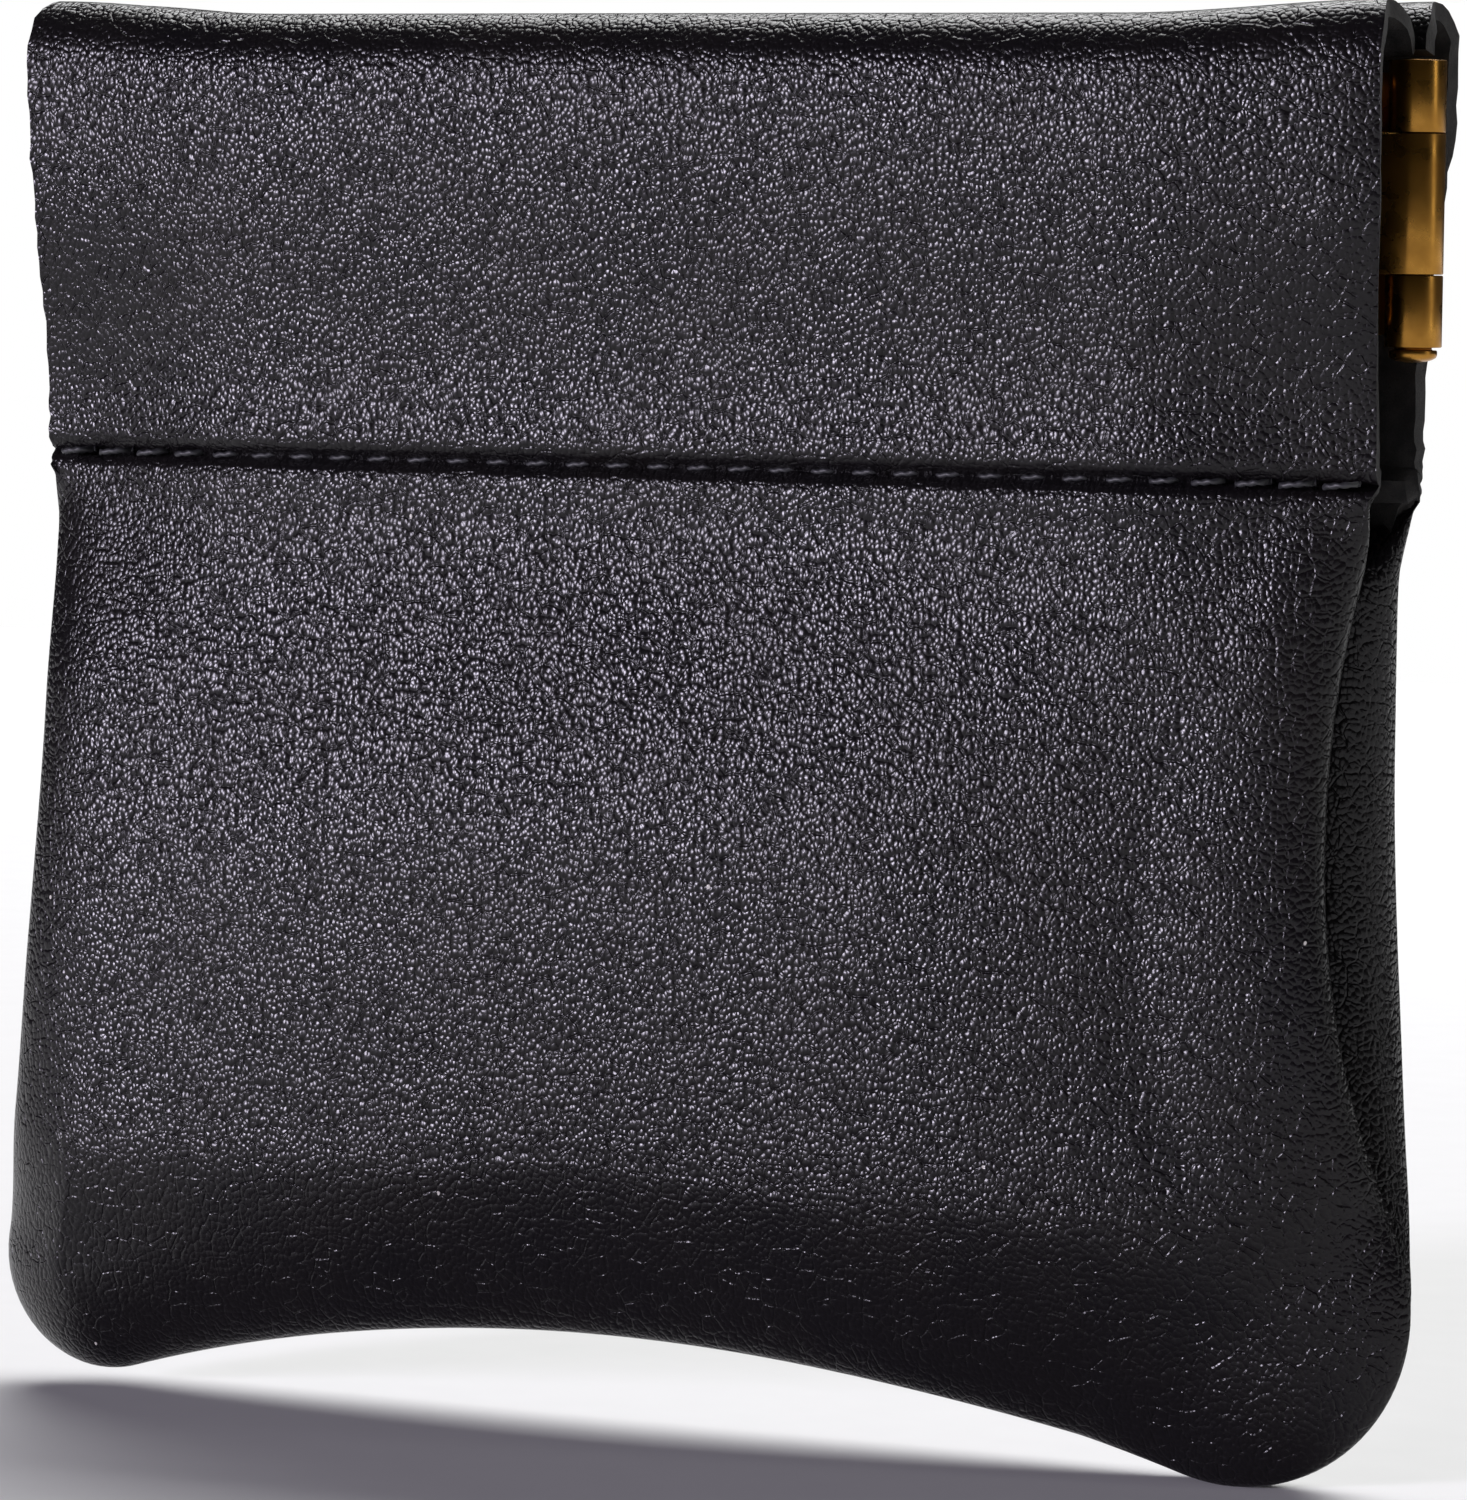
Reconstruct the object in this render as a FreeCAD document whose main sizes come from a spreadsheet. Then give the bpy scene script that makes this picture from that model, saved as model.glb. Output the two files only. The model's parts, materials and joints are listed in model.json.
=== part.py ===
"""Squeeze coin purse: two folded leather panels, a sprung hinged frame and the threads that hold them.

X runs across the purse, Y from its front to its back and Z up. The origin lies on the standing surface,
under the middle of the purse. The front panel, the front strip and the front threads are drawn at Y < 0.
"""

import FreeCAD
import Part
import math
import os
import Sketcher

# Driving dimensions in millimetres, and one angle in degrees
SIZES = {
    # the pouch
    "leather_thickness": 1.0,
    "purse_depth": 10.0,
    "pouch_depth": 13.4,
    "shoulder_length": 14.0,
    "purse_height": 84.0,
    "row_width": 85.0,
    "corner_width": 90.6,
    "corner_radius": 8.0,
    "side_hollow_radius": 150.0,
    "bottom_arch_radius": 121.0,
    "edge_roll_share": 0.58,
    "seam_roll_share": 0.38,
    "seam_allowance": 3.0,
    # the folded channel for the frame
    "channel_height": 27.0,
    "channel_length": 85.6,
    "hem_clearance": 0.05,
    "hem_slope_rise": 5.0,
    "hem_flat_rise": 1.0,
    "hem_tail": 3.0,
    "groove_radius": 0.55,
    # the sprung frame
    "strip_width": 14.6,
    "strip_thickness": 0.5,
    "strip_drop": 11.4,
    "strip_corner_radius": 1.6,
    "pin_span": 86.0,
    "pin_clearance": 0.05,
    "squeeze_travel": 3.6,
    "middle_knuckle_height": 7.8,
    "outer_knuckle_height": 4.0,
    "knuckle_gap": 0.1,
    "shoulder_clearance": 0.6,
    "curl_angle": 285.0,
    "head_overhang": 0.3,
    "head_rim": 0.3,
    "head_dome": 0.4,
    # the threads
    "thread_diameter": 0.44,
    "thread_seat": 0.02,
    "stitch_pitch": 2.6,
    "stitch_length": 1.7,
    "seam_stitch_inset": 0.8,
    # every cut runs past its faces by this much
    "cut_overrun": 2.0,
}

SHEET = "sizes"
TOLERANCE_SHARE = 1e-4


class Size:
    """A length of the sheet, or a sum of such lengths, as a number and as the sheet's expression."""

    def __init__(self, value, text):
        self.value = value
        self.text = text

    def joined(self, other, sign, value):
        right = other.text if isinstance(other, Size) else repr(other)
        return Size(value, f"({self.text} {sign} {right})")

    def __add__(self, other):
        return self.joined(other, "+", self.value + number(other))

    def __sub__(self, other):
        return self.joined(other, "-", self.value - number(other))

    def __mul__(self, other):
        return self.joined(other, "*", self.value * number(other))

    def __truediv__(self, other):
        return self.joined(other, "/", self.value / number(other))

    def __neg__(self):
        return Size(-self.value, f"(0 - {self.text})")


def number(term):
    return term.value if isinstance(term, Size) else term


def size(name):
    return Size(SIZES[name], f"{SHEET}.{name}")


ZERO = Size(0.0, "0")
LEATHER = size("leather_thickness")
HALF_DEPTH = size("purse_depth") / 2
TOP = size("purse_height")
ROW = TOP - size("channel_height")
EDGE_ROLL = HALF_DEPTH * size("edge_roll_share")
SEAM_ROLL = HALF_DEPTH * size("seam_roll_share")
OVERRUN = size("cut_overrun")

# Under the row the pouch swells along an arc that ends level with its deepest part
POUCH_HALF = size("pouch_depth") / 2
SWELL = POUCH_HALF - HALF_DEPTH
SHOULDER = size("shoulder_length")
SHOULDER_RADIUS = (SWELL * SWELL + SHOULDER * SHOULDER) / (SWELL * 2)

# The bore of the hinge leaves room between the strips for the two hems
BORE = LEATHER + size("hem_clearance") * 2
KNUCKLE = BORE + size("strip_thickness")
PIN_RADIUS = BORE - size("pin_clearance")
PIN_X = size("pin_span") / 2
SHOULDER_X = PIN_X - KNUCKLE - size("shoulder_clearance")
STRIP_Z = TOP - size("strip_drop")
OUTER_KNUCKLE_RISE = (size("middle_knuckle_height") + size("outer_knuckle_height")) / 2 + size("knuckle_gap")
STACK_HALF = OUTER_KNUCKLE_RISE + size("outer_knuckle_height") / 2

THREAD_RADIUS = size("thread_diameter") / 2

doc = FreeCAD.newDocument("coin_purse")
sheet = doc.addObject("Spreadsheet::Sheet", SHEET)
for row, (name, value) in enumerate(SIZES.items(), start=1):
    sheet.set(f"A{row}", name)
    sheet.set(f"B{row}", str(value))
    sheet.setAlias(f"B{row}", name)
doc.recompute()


# Sketching helpers


def new_body(label):
    body = doc.addObject("PartDesign::Body", label)
    body.Label = label
    return body


def new_sketch(body, name, role, height=None):
    """A sketch on one of the body's origin planes, raised along the plane's normal by height."""
    sketch = body.newObject("Sketcher::SketchObject", name)
    plane = next(o for o in body.Origin.OriginFeatures if o.Role == role)
    sketch.AttachmentSupport = (plane, [""])
    sketch.MapMode = "FlatFace"
    if height is not None:
        sketch.setExpression("AttachmentOffset.Base.z", height.text)
    return sketch


def bind(sketch, kind, *places, to):
    """Adds a dimension to the sketch and ties it to a size."""
    index = sketch.addConstraint(Sketcher.Constraint(kind, *places, to.value))
    sketch.setExpression(f"Constraints[{index}]", to.text)


def pin_point(sketch, geometry, place, across, up):
    bind(sketch, "DistanceX", -1, 1, geometry, place, to=across)
    bind(sketch, "DistanceY", -1, 1, geometry, place, to=up)


def add_line(sketch, start, end):
    """A line between two places, each of which is two sizes or two numbers."""
    points = [FreeCAD.Vector(number(across), number(up), 0) for across, up in (start, end)]
    return sketch.addGeometry(Part.LineSegment(*points), False)


def add_arc(sketch, centre, radius, first, last):
    """An arc that runs anticlockwise between two angles in radians. The centre is two numbers."""
    circle = Part.Circle(FreeCAD.Vector(*centre, 0), FreeCAD.Vector(0, 0, 1), radius)
    return sketch.addGeometry(Part.ArcOfCircle(circle, first, last), False)


def add_polygon(sketch, corners):
    """A closed outline of straight sides, with each corner tied to its two sizes."""
    lines = [add_line(sketch, a, b) for a, b in zip(corners, corners[1:] + corners[:1])]
    for before, line, corner in zip(lines[-1:] + lines[:-1], lines, corners):
        sketch.addConstraint(Sketcher.Constraint("Coincident", before, 2, line, 1))
        pin_point(sketch, line, 1, *corner)


def add_rectangle(sketch, left, right, low, high):
    add_polygon(sketch, [(left, low), (right, low), (right, high), (left, high)])


def add_feature(body, kind, name, sketch, length, side="One side", back=False):
    """A pad or a pocket of the sketch. Going back, it runs against the usual direction."""
    feature = body.newObject(f"PartDesign::{kind}", name)
    feature.Profile = sketch
    feature.SideType = side
    feature.Reversed = back
    feature.setExpression("Length", length.text)
    doc.recompute()
    return feature


def add_fillet(body, name, base, edges, radius):
    fillet = body.newObject("PartDesign::Fillet", name)
    fillet.Base = (base, edges)
    fillet.setExpression("Radius", radius.text)
    doc.recompute()
    return fillet


def edges_where(shape, test):
    return [f"Edge{n}" for n, edge in enumerate(shape.Edges, start=1) if test(edge.BoundBox)]


def near(a, b):
    return abs(a - b) < TOLERANCE_SHARE * SIZES["purse_height"]


# The leather panels


def add_panel_outline(sketch, inset):
    """The pouch seen from the front, with hollow sides, round lower corners and an arched bottom edge."""
    half_row = size("row_width") / 2 - inset
    corner = size("corner_radius") - inset
    corner_x = size("corner_width") / 2 - size("corner_radius")
    corner_z = size("corner_radius")
    side = size("side_hollow_radius") + inset
    arch = size("bottom_arch_radius") + inset

    # where the hollow side's centre lies: as far from the row's end as from the corner's rim
    along_x = corner_x.value - half_row.value
    along_z = corner_z.value - ROW.value
    apart = math.hypot(along_x, along_z)
    reach = side.value + corner.value
    ahead = (side.value**2 - reach**2 + apart**2) / (2 * apart)
    aside = math.sqrt(side.value**2 - ahead**2)
    side_x = half_row.value + (along_x * ahead - along_z * aside) / apart
    side_z = ROW.value + (along_z * ahead + along_x * aside) / apart
    arch_z = corner_z.value - math.sqrt((arch.value + corner.value) ** 2 - corner_x.value**2)

    row_turn = math.atan2(ROW.value - side_z, half_row.value - side_x)
    side_turn = math.atan2(side_z - corner_z.value, side_x - corner_x.value)
    arch_turn = math.atan2(corner_z.value - arch_z, corner_x.value)

    top = add_line(sketch, (-half_row, ROW), (half_row, ROW))
    right_side = add_arc(sketch, (side_x, side_z), side.value, row_turn, math.pi + side_turn)
    corner_place = (corner_x.value, corner_z.value)
    right_corner = add_arc(sketch, corner_place, corner.value, arch_turn - math.pi, side_turn)
    bottom = add_arc(sketch, (0, arch_z), arch.value, arch_turn, math.pi - arch_turn)
    corner_place = (-corner_x.value, corner_z.value)
    left_corner = add_arc(sketch, corner_place, corner.value, math.pi - side_turn, math.tau - arch_turn)
    left_side = add_arc(sketch, (-side_x, side_z), side.value, -side_turn, math.pi - row_turn)

    pin_point(sketch, top, 1, -half_row, ROW)
    pin_point(sketch, top, 2, half_row, ROW)
    sketch.addConstraint(Sketcher.Constraint("Coincident", top, 2, right_side, 1))
    sketch.addConstraint(Sketcher.Constraint("Coincident", top, 1, left_side, 2))
    for arc, radius in [(right_side, side), (left_side, side), (bottom, arch)]:
        bind(sketch, "Radius", arc, to=radius)
    for arc, across in [(right_corner, corner_x), (left_corner, -corner_x)]:
        bind(sketch, "Radius", arc, to=corner)
        pin_point(sketch, arc, 3, across, corner_z)
    meetings = [
        (right_side, 2, right_corner, 2),
        (right_corner, 1, bottom, 1),
        (bottom, 2, left_corner, 2),
        (left_corner, 1, left_side, 1),
    ]
    for meeting in meetings:
        sketch.addConstraint(Sketcher.Constraint("Tangent", *meeting))


def add_channel_section(sketch):
    """The folded hem seen from the side: the outer layer, the fold over the top and the hem inside."""
    front = -HALF_DEPTH
    hem = -size("hem_clearance")
    fold = (HALF_DEPTH - size("hem_clearance")) / 2
    spring = TOP - fold
    flat = ROW + size("hem_flat_rise")
    slope = flat + size("hem_slope_rise")
    loops = [
        (front, hem, [(hem, slope), (front + LEATHER * 2, flat), (front + LEATHER * 2, ROW), (front, ROW)]),
        (front + LEATHER, hem - LEATHER, [(hem - LEATHER, slope), (front + LEATHER, flat)]),
    ]
    for left, right, corners in loops:
        corners = [(right, spring), *corners, (left, spring)]
        lines = [add_line(sketch, a, b) for a, b in zip(corners, corners[1:])]
        radius = (right.value - left.value) / 2
        arc = add_arc(sketch, (left.value + radius, spring.value), radius, 0, math.pi)
        for before, after in zip(lines, lines[1:]):
            sketch.addConstraint(Sketcher.Constraint("Coincident", before, 2, after, 1))
        for line, corner in zip(lines, corners):
            pin_point(sketch, line, 1, *corner)
        pin_point(sketch, lines[-1], 2, *corners[-1])
        sketch.addConstraint(Sketcher.Constraint("Coincident", lines[0], 1, arc, 1))
        sketch.addConstraint(Sketcher.Constraint("Coincident", lines[-1], 2, arc, 2))
        bind(sketch, "DistanceY", -1, 1, arc, 3, to=spring)


def add_shoulder_section(sketch, inset):
    """What is cut away in front of the shoulder, seen from the side."""
    row_front = inset - HALF_DEPTH
    front = inset - POUCH_HALF
    foot = ROW - SHOULDER
    clear = front - OVERRUN
    corners = [(row_front, ROW), (row_front, ROW + OVERRUN), (clear, ROW + OVERRUN), (clear, foot), (front, foot)]
    lines = [add_line(sketch, a, b) for a, b in zip(corners, corners[1:])]
    turn = math.asin(SHOULDER.value / SHOULDER_RADIUS.value)
    centre = (front.value + SHOULDER_RADIUS.value, foot.value)
    arc = add_arc(sketch, centre, SHOULDER_RADIUS.value, math.pi - turn, math.pi)
    for before, after in zip(lines, lines[1:]):
        sketch.addConstraint(Sketcher.Constraint("Coincident", before, 2, after, 1))
    for line, corner in zip(lines, corners):
        pin_point(sketch, line, 1, *corner)
    pin_point(sketch, lines[-1], 2, *corners[-1])
    sketch.addConstraint(Sketcher.Constraint("Coincident", arc, 1, lines[0], 1))
    sketch.addConstraint(Sketcher.Constraint("Coincident", arc, 2, lines[-1], 2))
    bind(sketch, "Radius", arc, to=SHOULDER_RADIUS)


def add_rolled_pouch(body, inset):
    """The front half of the pouch as a full solid, inset on every side: its rim is rolled, its top swells."""
    outline = new_sketch(body, "PouchOutline", "XZ_Plane", inset)
    add_panel_outline(outline, inset)
    add_feature(body, "Pad", "PouchPad", outline, POUCH_HALF - inset * 2)
    section = new_sketch(body, "ShoulderSection", "YZ_Plane")
    add_shoulder_section(section, inset)
    width = size("corner_width") + OVERRUN
    pouch = add_feature(body, "Pocket", "Shoulder", section, width, side="Symmetric")

    front = (inset - POUCH_HALF).value
    row_front = (inset - HALF_DEPTH).value
    foot = (ROW - SHOULDER).value

    def on_front(box):
        across = near(box.ZMin, box.ZMax) and (near(box.ZMin, foot) or near(box.ZMin, ROW.value))
        level = near(box.YMin, front) and near(box.YMax, front)
        return not across and (level or near(box.YMin, front) and near(box.YMax, row_front))

    def on_seam(box):
        return near(box.YMin, -inset.value) and near(box.YMax, -inset.value) and not near(box.ZMin, ROW.value)

    pouch = add_fillet(body, "EdgeRoll", pouch, edges_where(pouch.Shape, on_front), EDGE_ROLL - inset)
    add_fillet(body, "SeamRoll", pouch, edges_where(pouch.Shape, on_seam), SEAM_ROLL - inset)


def make_panel(label):
    """The front panel: a rolled half pouch with its seam allowance, and the channel along its top."""
    body = new_body(label)
    add_rolled_pouch(body, ZERO)
    inside = new_body(f"{label}_inside")
    add_rolled_pouch(inside, LEATHER)
    hollow = body.newObject("PartDesign::Boolean", "PouchHollow")
    hollow.Type = "Cut"
    hollow.addObject(inside)
    doc.recompute()

    web = new_sketch(body, "SeamAllowance", "XZ_Plane")
    add_panel_outline(web, SEAM_ROLL + size("seam_allowance"))
    add_feature(body, "Pocket", "PouchMouth", web, LEATHER + OVERRUN, back=True)

    section = new_sketch(body, "ChannelSection", "YZ_Plane")
    add_channel_section(section)
    add_feature(body, "Pad", "Channel", section, size("channel_length"), side="Symmetric")

    tail = new_sketch(body, "HemTail", "YZ_Plane")
    inner_face = LEATHER - HALF_DEPTH
    tail_foot = ROW - size("hem_tail")
    leaning = inner_face - size("hem_tail") * SWELL * 2 / SHOULDER
    set_in = LEATHER / 2
    upper = [(inner_face + LEATHER, ROW), (inner_face - set_in, ROW)]
    add_polygon(tail, [*upper, (leaning - set_in, tail_foot), (leaning + LEATHER, tail_foot)])
    add_feature(body, "Pad", "HemTailPad", tail, size("row_width") - EDGE_ROLL * 2, side="Symmetric")

    notch = new_sketch(body, "HingeNotch", "XZ_Plane")
    end = size("channel_length") / 2 + OVERRUN
    reach = STACK_HALF + size("shoulder_clearance") + size("head_rim") + size("head_dome")
    start = SHOULDER_X - size("squeeze_travel")
    add_rectangle(notch, start, end, STRIP_Z - reach, STRIP_Z + reach)
    add_rectangle(notch, -end, -start, STRIP_Z - reach, STRIP_Z + reach)
    add_feature(body, "Pocket", "HingeNotches", notch, KNUCKLE + size("shoulder_clearance"), back=True)

    groove = new_sketch(body, "StitchGroove", "YZ_Plane")
    place = FreeCAD.Vector(-HALF_DEPTH.value, ROW.value, 0)
    ring = Part.Circle(place, FreeCAD.Vector(0, 0, 1), SIZES["groove_radius"])
    ring_index = groove.addGeometry(ring, False)
    pin_point(groove, ring_index, 3, -HALF_DEPTH, ROW)
    bind(groove, "Radius", ring_index, to=size("groove_radius"))
    add_feature(body, "Pocket", "StitchGrooveCut", groove, size("channel_length") + OVERRUN, side="Symmetric")
    return body


# The sprung frame


def add_curl(sketch):
    """A tab that leaves the strip and curls round the pin, seen from above."""
    root = SHOULDER_X - size("strip_corner_radius")
    turn = math.radians(SIZES["curl_angle"])
    angle = Size(turn, f"{SHEET}.curl_angle")
    start = -math.pi / 2
    outer = add_arc(sketch, (PIN_X.value, 0), KNUCKLE.value, start, start + turn)
    inner = add_arc(sketch, (PIN_X.value, 0), BORE.value, start, start + turn)
    corners = [(PIN_X, -BORE), (root, -BORE), (root, -KNUCKLE), (PIN_X, -KNUCKLE)]
    lines = [add_line(sketch, a, b) for a, b in zip(corners, corners[1:])]
    tip_x, tip_y = math.cos(start + turn), math.sin(start + turn)
    tips = [(PIN_X.value + radius * tip_x, radius * tip_y) for radius in (KNUCKLE.value, BORE.value)]
    tip = add_line(sketch, *tips)
    for before, after in zip(lines, lines[1:]):
        sketch.addConstraint(Sketcher.Constraint("Coincident", before, 2, after, 1))
    for line, corner in zip(lines, corners):
        pin_point(sketch, line, 1, *corner)
    pin_point(sketch, lines[-1], 2, *corners[-1])
    for arc, line, place in [(inner, lines[0], 1), (outer, lines[-1], 2)]:
        sketch.addConstraint(Sketcher.Constraint("Coincident", arc, 1, line, place))
        pin_point(sketch, arc, 3, PIN_X, ZERO)
        bind(sketch, "Angle", arc, to=angle)
    sketch.addConstraint(Sketcher.Constraint("Coincident", outer, 2, tip, 1))
    sketch.addConstraint(Sketcher.Constraint("Coincident", inner, 2, tip, 2))


def make_half_strip(label, knuckles):
    """The right half of a strip, at the front. Each knuckle has its height above mid-strip and its length."""
    body = new_body(label)
    plate = new_sketch(body, "Plate", "XZ_Plane", BORE)
    half_width = size("strip_width") / 2
    add_rectangle(plate, ZERO, SHOULDER_X, STRIP_Z - half_width, STRIP_Z + half_width)
    pad = add_feature(body, "Pad", "PlatePad", plate, size("strip_thickness"))
    end = edges_where(pad.Shape, lambda box: near(box.XMin, SHOULDER_X.value) and near(box.ZMin, box.ZMax))
    add_fillet(body, "ShoulderFillet", pad, end, size("strip_corner_radius"))
    for index, (rise, length) in enumerate(knuckles):
        curl = new_sketch(body, f"Curl{index}", "XY_Plane", STRIP_Z + rise)
        add_curl(curl)
        add_feature(body, "Pad", f"CurlPad{index}", curl, length, side="Symmetric")
    return body


def make_pin(label, across):
    """A hinge pin with a head below, whose foot tapers in."""
    body = new_body(label)
    profile = new_sketch(body, "PinProfile", "XZ_Plane")
    head = PIN_RADIUS + size("head_overhang")
    seat = STRIP_Z - STACK_HALF - size("knuckle_gap")
    rim = seat - size("head_rim")
    foot = rim - size("head_dome")
    top = STRIP_Z + STACK_HALF
    corners = [(ZERO, foot), (PIN_RADIUS, foot), (head, rim), (head, seat)]
    corners += [(PIN_RADIUS, seat), (PIN_RADIUS, top), (ZERO, top)]
    add_polygon(profile, corners)
    turned = body.newObject("PartDesign::Revolution", "PinTurned")
    turned.Profile = profile
    turned.ReferenceAxis = (profile, ["V_Axis"])
    body.setExpression("Placement.Base.x", across.text)
    doc.recompute()
    return body


def mirrored(label, source, normal):
    copy = doc.addObject("Part::Mirroring", label)
    copy.Label = label
    copy.Source = source
    copy.Normal = normal
    doc.recompute()
    return copy


# The threads


def stitch_solid():
    """One stitch along X about the origin: a short thread with round ends."""
    radius = THREAD_RADIUS.value
    straight = SIZES["stitch_length"] / 2 - radius
    ends = [FreeCAD.Vector(side * straight, 0, 0) for side in (-1, 1)]
    tips = [FreeCAD.Vector(side * SIZES["stitch_length"] / 2, 0, 0) for side in (-1, 1)]
    rise = FreeCAD.Vector(0, radius, 0)
    bend = FreeCAD.Vector(radius * math.cos(math.pi / 4), radius * math.sin(math.pi / 4), 0)
    bend_back = FreeCAD.Vector(-bend.x, bend.y, 0)
    outline = Part.Wire(
        [
            Part.LineSegment(tips[1], tips[0]).toShape(),
            Part.Arc(tips[0], ends[0] + bend_back, ends[0] + rise).toShape(),
            Part.LineSegment(ends[0] + rise, ends[1] + rise).toShape(),
            Part.Arc(ends[1] + rise, ends[1] + bend, tips[1]).toShape(),
        ]
    )
    return Part.Face(outline).revolve(FreeCAD.Vector(), FreeCAD.Vector(1, 0, 0), 360)


def make_thread(label, places):
    """A row of stitches. Each place is a point and the direction that the stitch runs in."""
    one = stitch_solid()
    stitches = []
    for point, along in places:
        stitch = one.copy()
        turn = FreeCAD.Rotation(FreeCAD.Vector(1, 0, 0), along)
        stitch.Placement = FreeCAD.Placement(point, turn)
        stitches.append(stitch)
    thread = doc.addObject("Part::Feature", label)
    thread.Label = label
    thread.Shape = Part.makeCompound(stitches)
    thread.Placement = FreeCAD.Placement()
    return thread


def row_places(depth):
    """Stitches across the channel row, at a depth along Y."""
    pitch = SIZES["stitch_pitch"]
    count = int((SIZES["channel_length"] - SIZES["stitch_length"]) / pitch)
    along = FreeCAD.Vector(1, 0, 0)
    starts = [(index - (count - 1) / 2) * pitch for index in range(count)]
    return [(FreeCAD.Vector(x, depth, ROW.value), along) for x in starts]


def seam_places(depth):
    """Stitches round the sides and the bottom, along the seam between the panels, at a depth along Y."""
    curves = [edge for edge in seam_line.Shape.Edges if not near(edge.BoundBox.ZMin, ROW.value)]
    path = Part.Wire(Part.__sortEdges__(curves))
    count = int(path.Length / SIZES["stitch_pitch"])
    points = path.discretize(Number=count + 1)
    lift = FreeCAD.Vector(0, depth, 0)
    return [((a + b) / 2 + lift, b - a) for a, b in zip(points, points[1:])]


# The assembly
front_panel = make_panel("front_panel")
back_panel = mirrored("back_panel", front_panel, FreeCAD.Vector(0, 1, 0))

middle_tab = [(ZERO, size("middle_knuckle_height"))]
outer_tabs = [
    (OUTER_KNUCKLE_RISE, size("outer_knuckle_height")),
    (-OUTER_KNUCKLE_RISE, size("outer_knuckle_height")),
]
front_strip_right = make_half_strip("front_strip_right", middle_tab)
front_strip_left = mirrored("front_strip_left", front_strip_right, FreeCAD.Vector(1, 0, 0))
outer_tab_strip = make_half_strip("outer_tab_strip", outer_tabs)
back_strip_right = mirrored("back_strip_right", outer_tab_strip, FreeCAD.Vector(0, 1, 0))
back_strip_left = mirrored("back_strip_left", back_strip_right, FreeCAD.Vector(1, 0, 0))
right_hinge_pin = make_pin("right_hinge_pin", PIN_X)
left_hinge_pin = make_pin("left_hinge_pin", -PIN_X)

seam_line = doc.addObject("Sketcher::SketchObject", "SeamLine")
seam_line.Placement = FreeCAD.Placement(FreeCAD.Vector(), FreeCAD.Rotation(FreeCAD.Vector(1, 0, 0), 90))
add_panel_outline(seam_line, SEAM_ROLL + size("seam_stitch_inset"))
doc.recompute()

proud = THREAD_RADIUS.value + SIZES["thread_seat"]
outer_depth = HALF_DEPTH.value - SIZES["groove_radius"] + proud
inner_depth = HALF_DEPTH.value - LEATHER.value * 2 - proud
seam_depth = LEATHER.value + proud
threads = []
for face, sign in [("front", -1), ("back", 1)]:
    threads.append(make_thread(f"{face}_channel_outer_thread", row_places(sign * outer_depth)))
    threads.append(make_thread(f"{face}_channel_inner_thread", row_places(sign * inner_depth)))
    threads.append(make_thread(f"perimeter_{face}_thread", seam_places(sign * seam_depth)))

doc.recompute()
for item in doc.Objects:
    if {"Invalid", "Error"} & set(item.State):
        raise RuntimeError(f"{item.Label} failed: {item.State}")

nodes = [
    front_panel,
    back_panel,
    front_strip_right,
    front_strip_left,
    back_strip_right,
    back_strip_left,
    right_hinge_pin,
    left_hinge_pin,
    *threads,
]
for node in nodes:
    if node.Shape.isNull() or not node.Shape.isValid():
        raise RuntimeError(f"{node.Label} has no valid shape")

os.makedirs("parts", exist_ok=True)
for node in nodes:
    node.Shape.exportStep(f"parts/{node.Label}.step")
    print(f"{node.Label}: {len(node.Shape.Solids)} solids, {node.Shape.Volume:.2f} mm3")
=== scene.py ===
"""Looks of a squeeze coin purse: folded leather on a sprung brass-plated frame, sewn with dark thread.

X runs across the purse, Y from its front to its back and Z up. Shapes are worked out in millimetres
and become metres when their mesh is made.
"""

import json
import logging
import math
from dataclasses import dataclass
from enum import Enum
from typing import Callable, Sequence

import bpy
import numpy as np
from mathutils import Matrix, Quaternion, Vector


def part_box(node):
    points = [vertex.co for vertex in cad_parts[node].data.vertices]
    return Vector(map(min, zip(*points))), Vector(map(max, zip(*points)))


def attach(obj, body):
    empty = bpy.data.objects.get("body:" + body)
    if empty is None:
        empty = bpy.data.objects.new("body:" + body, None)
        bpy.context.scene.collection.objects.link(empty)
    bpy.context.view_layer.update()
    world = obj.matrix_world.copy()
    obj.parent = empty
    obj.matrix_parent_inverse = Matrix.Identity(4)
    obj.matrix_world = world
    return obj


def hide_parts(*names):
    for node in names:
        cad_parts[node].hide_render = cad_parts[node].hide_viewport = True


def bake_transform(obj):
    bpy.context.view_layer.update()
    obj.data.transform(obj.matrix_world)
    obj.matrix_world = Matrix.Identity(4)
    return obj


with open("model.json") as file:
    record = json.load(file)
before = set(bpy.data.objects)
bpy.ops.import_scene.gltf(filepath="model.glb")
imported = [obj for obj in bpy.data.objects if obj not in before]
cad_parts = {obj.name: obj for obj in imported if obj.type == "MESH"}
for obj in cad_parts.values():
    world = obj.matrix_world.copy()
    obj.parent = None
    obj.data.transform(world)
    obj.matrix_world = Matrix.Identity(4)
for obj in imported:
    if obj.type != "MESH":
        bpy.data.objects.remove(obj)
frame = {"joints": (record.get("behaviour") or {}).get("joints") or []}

MM = 0.001
PHOTO_HEIGHT_PX = 1500
SENSOR_MM = 36.0
SHEET_PLACE = "sheet_place"
MIX_SHARE, MIX_FIRST, MIX_SECOND, MIX_RESULT = 0, 6, 7, 2
METAL_EDGE_STEPS = 2
METAL_CREASE_ANGLE = math.radians(40)
LOG = logging.getLogger("coin_purse")

Array = np.ndarray
Piece = bpy.types.Object
Material = bpy.types.Material
Tree = bpy.types.NodeTree
Node = bpy.types.Node
Socket = bpy.types.NodeSocket
Colour = tuple[float, float, float, float]
Range = tuple[float, float]
Stops = tuple[float, float, float]


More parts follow.
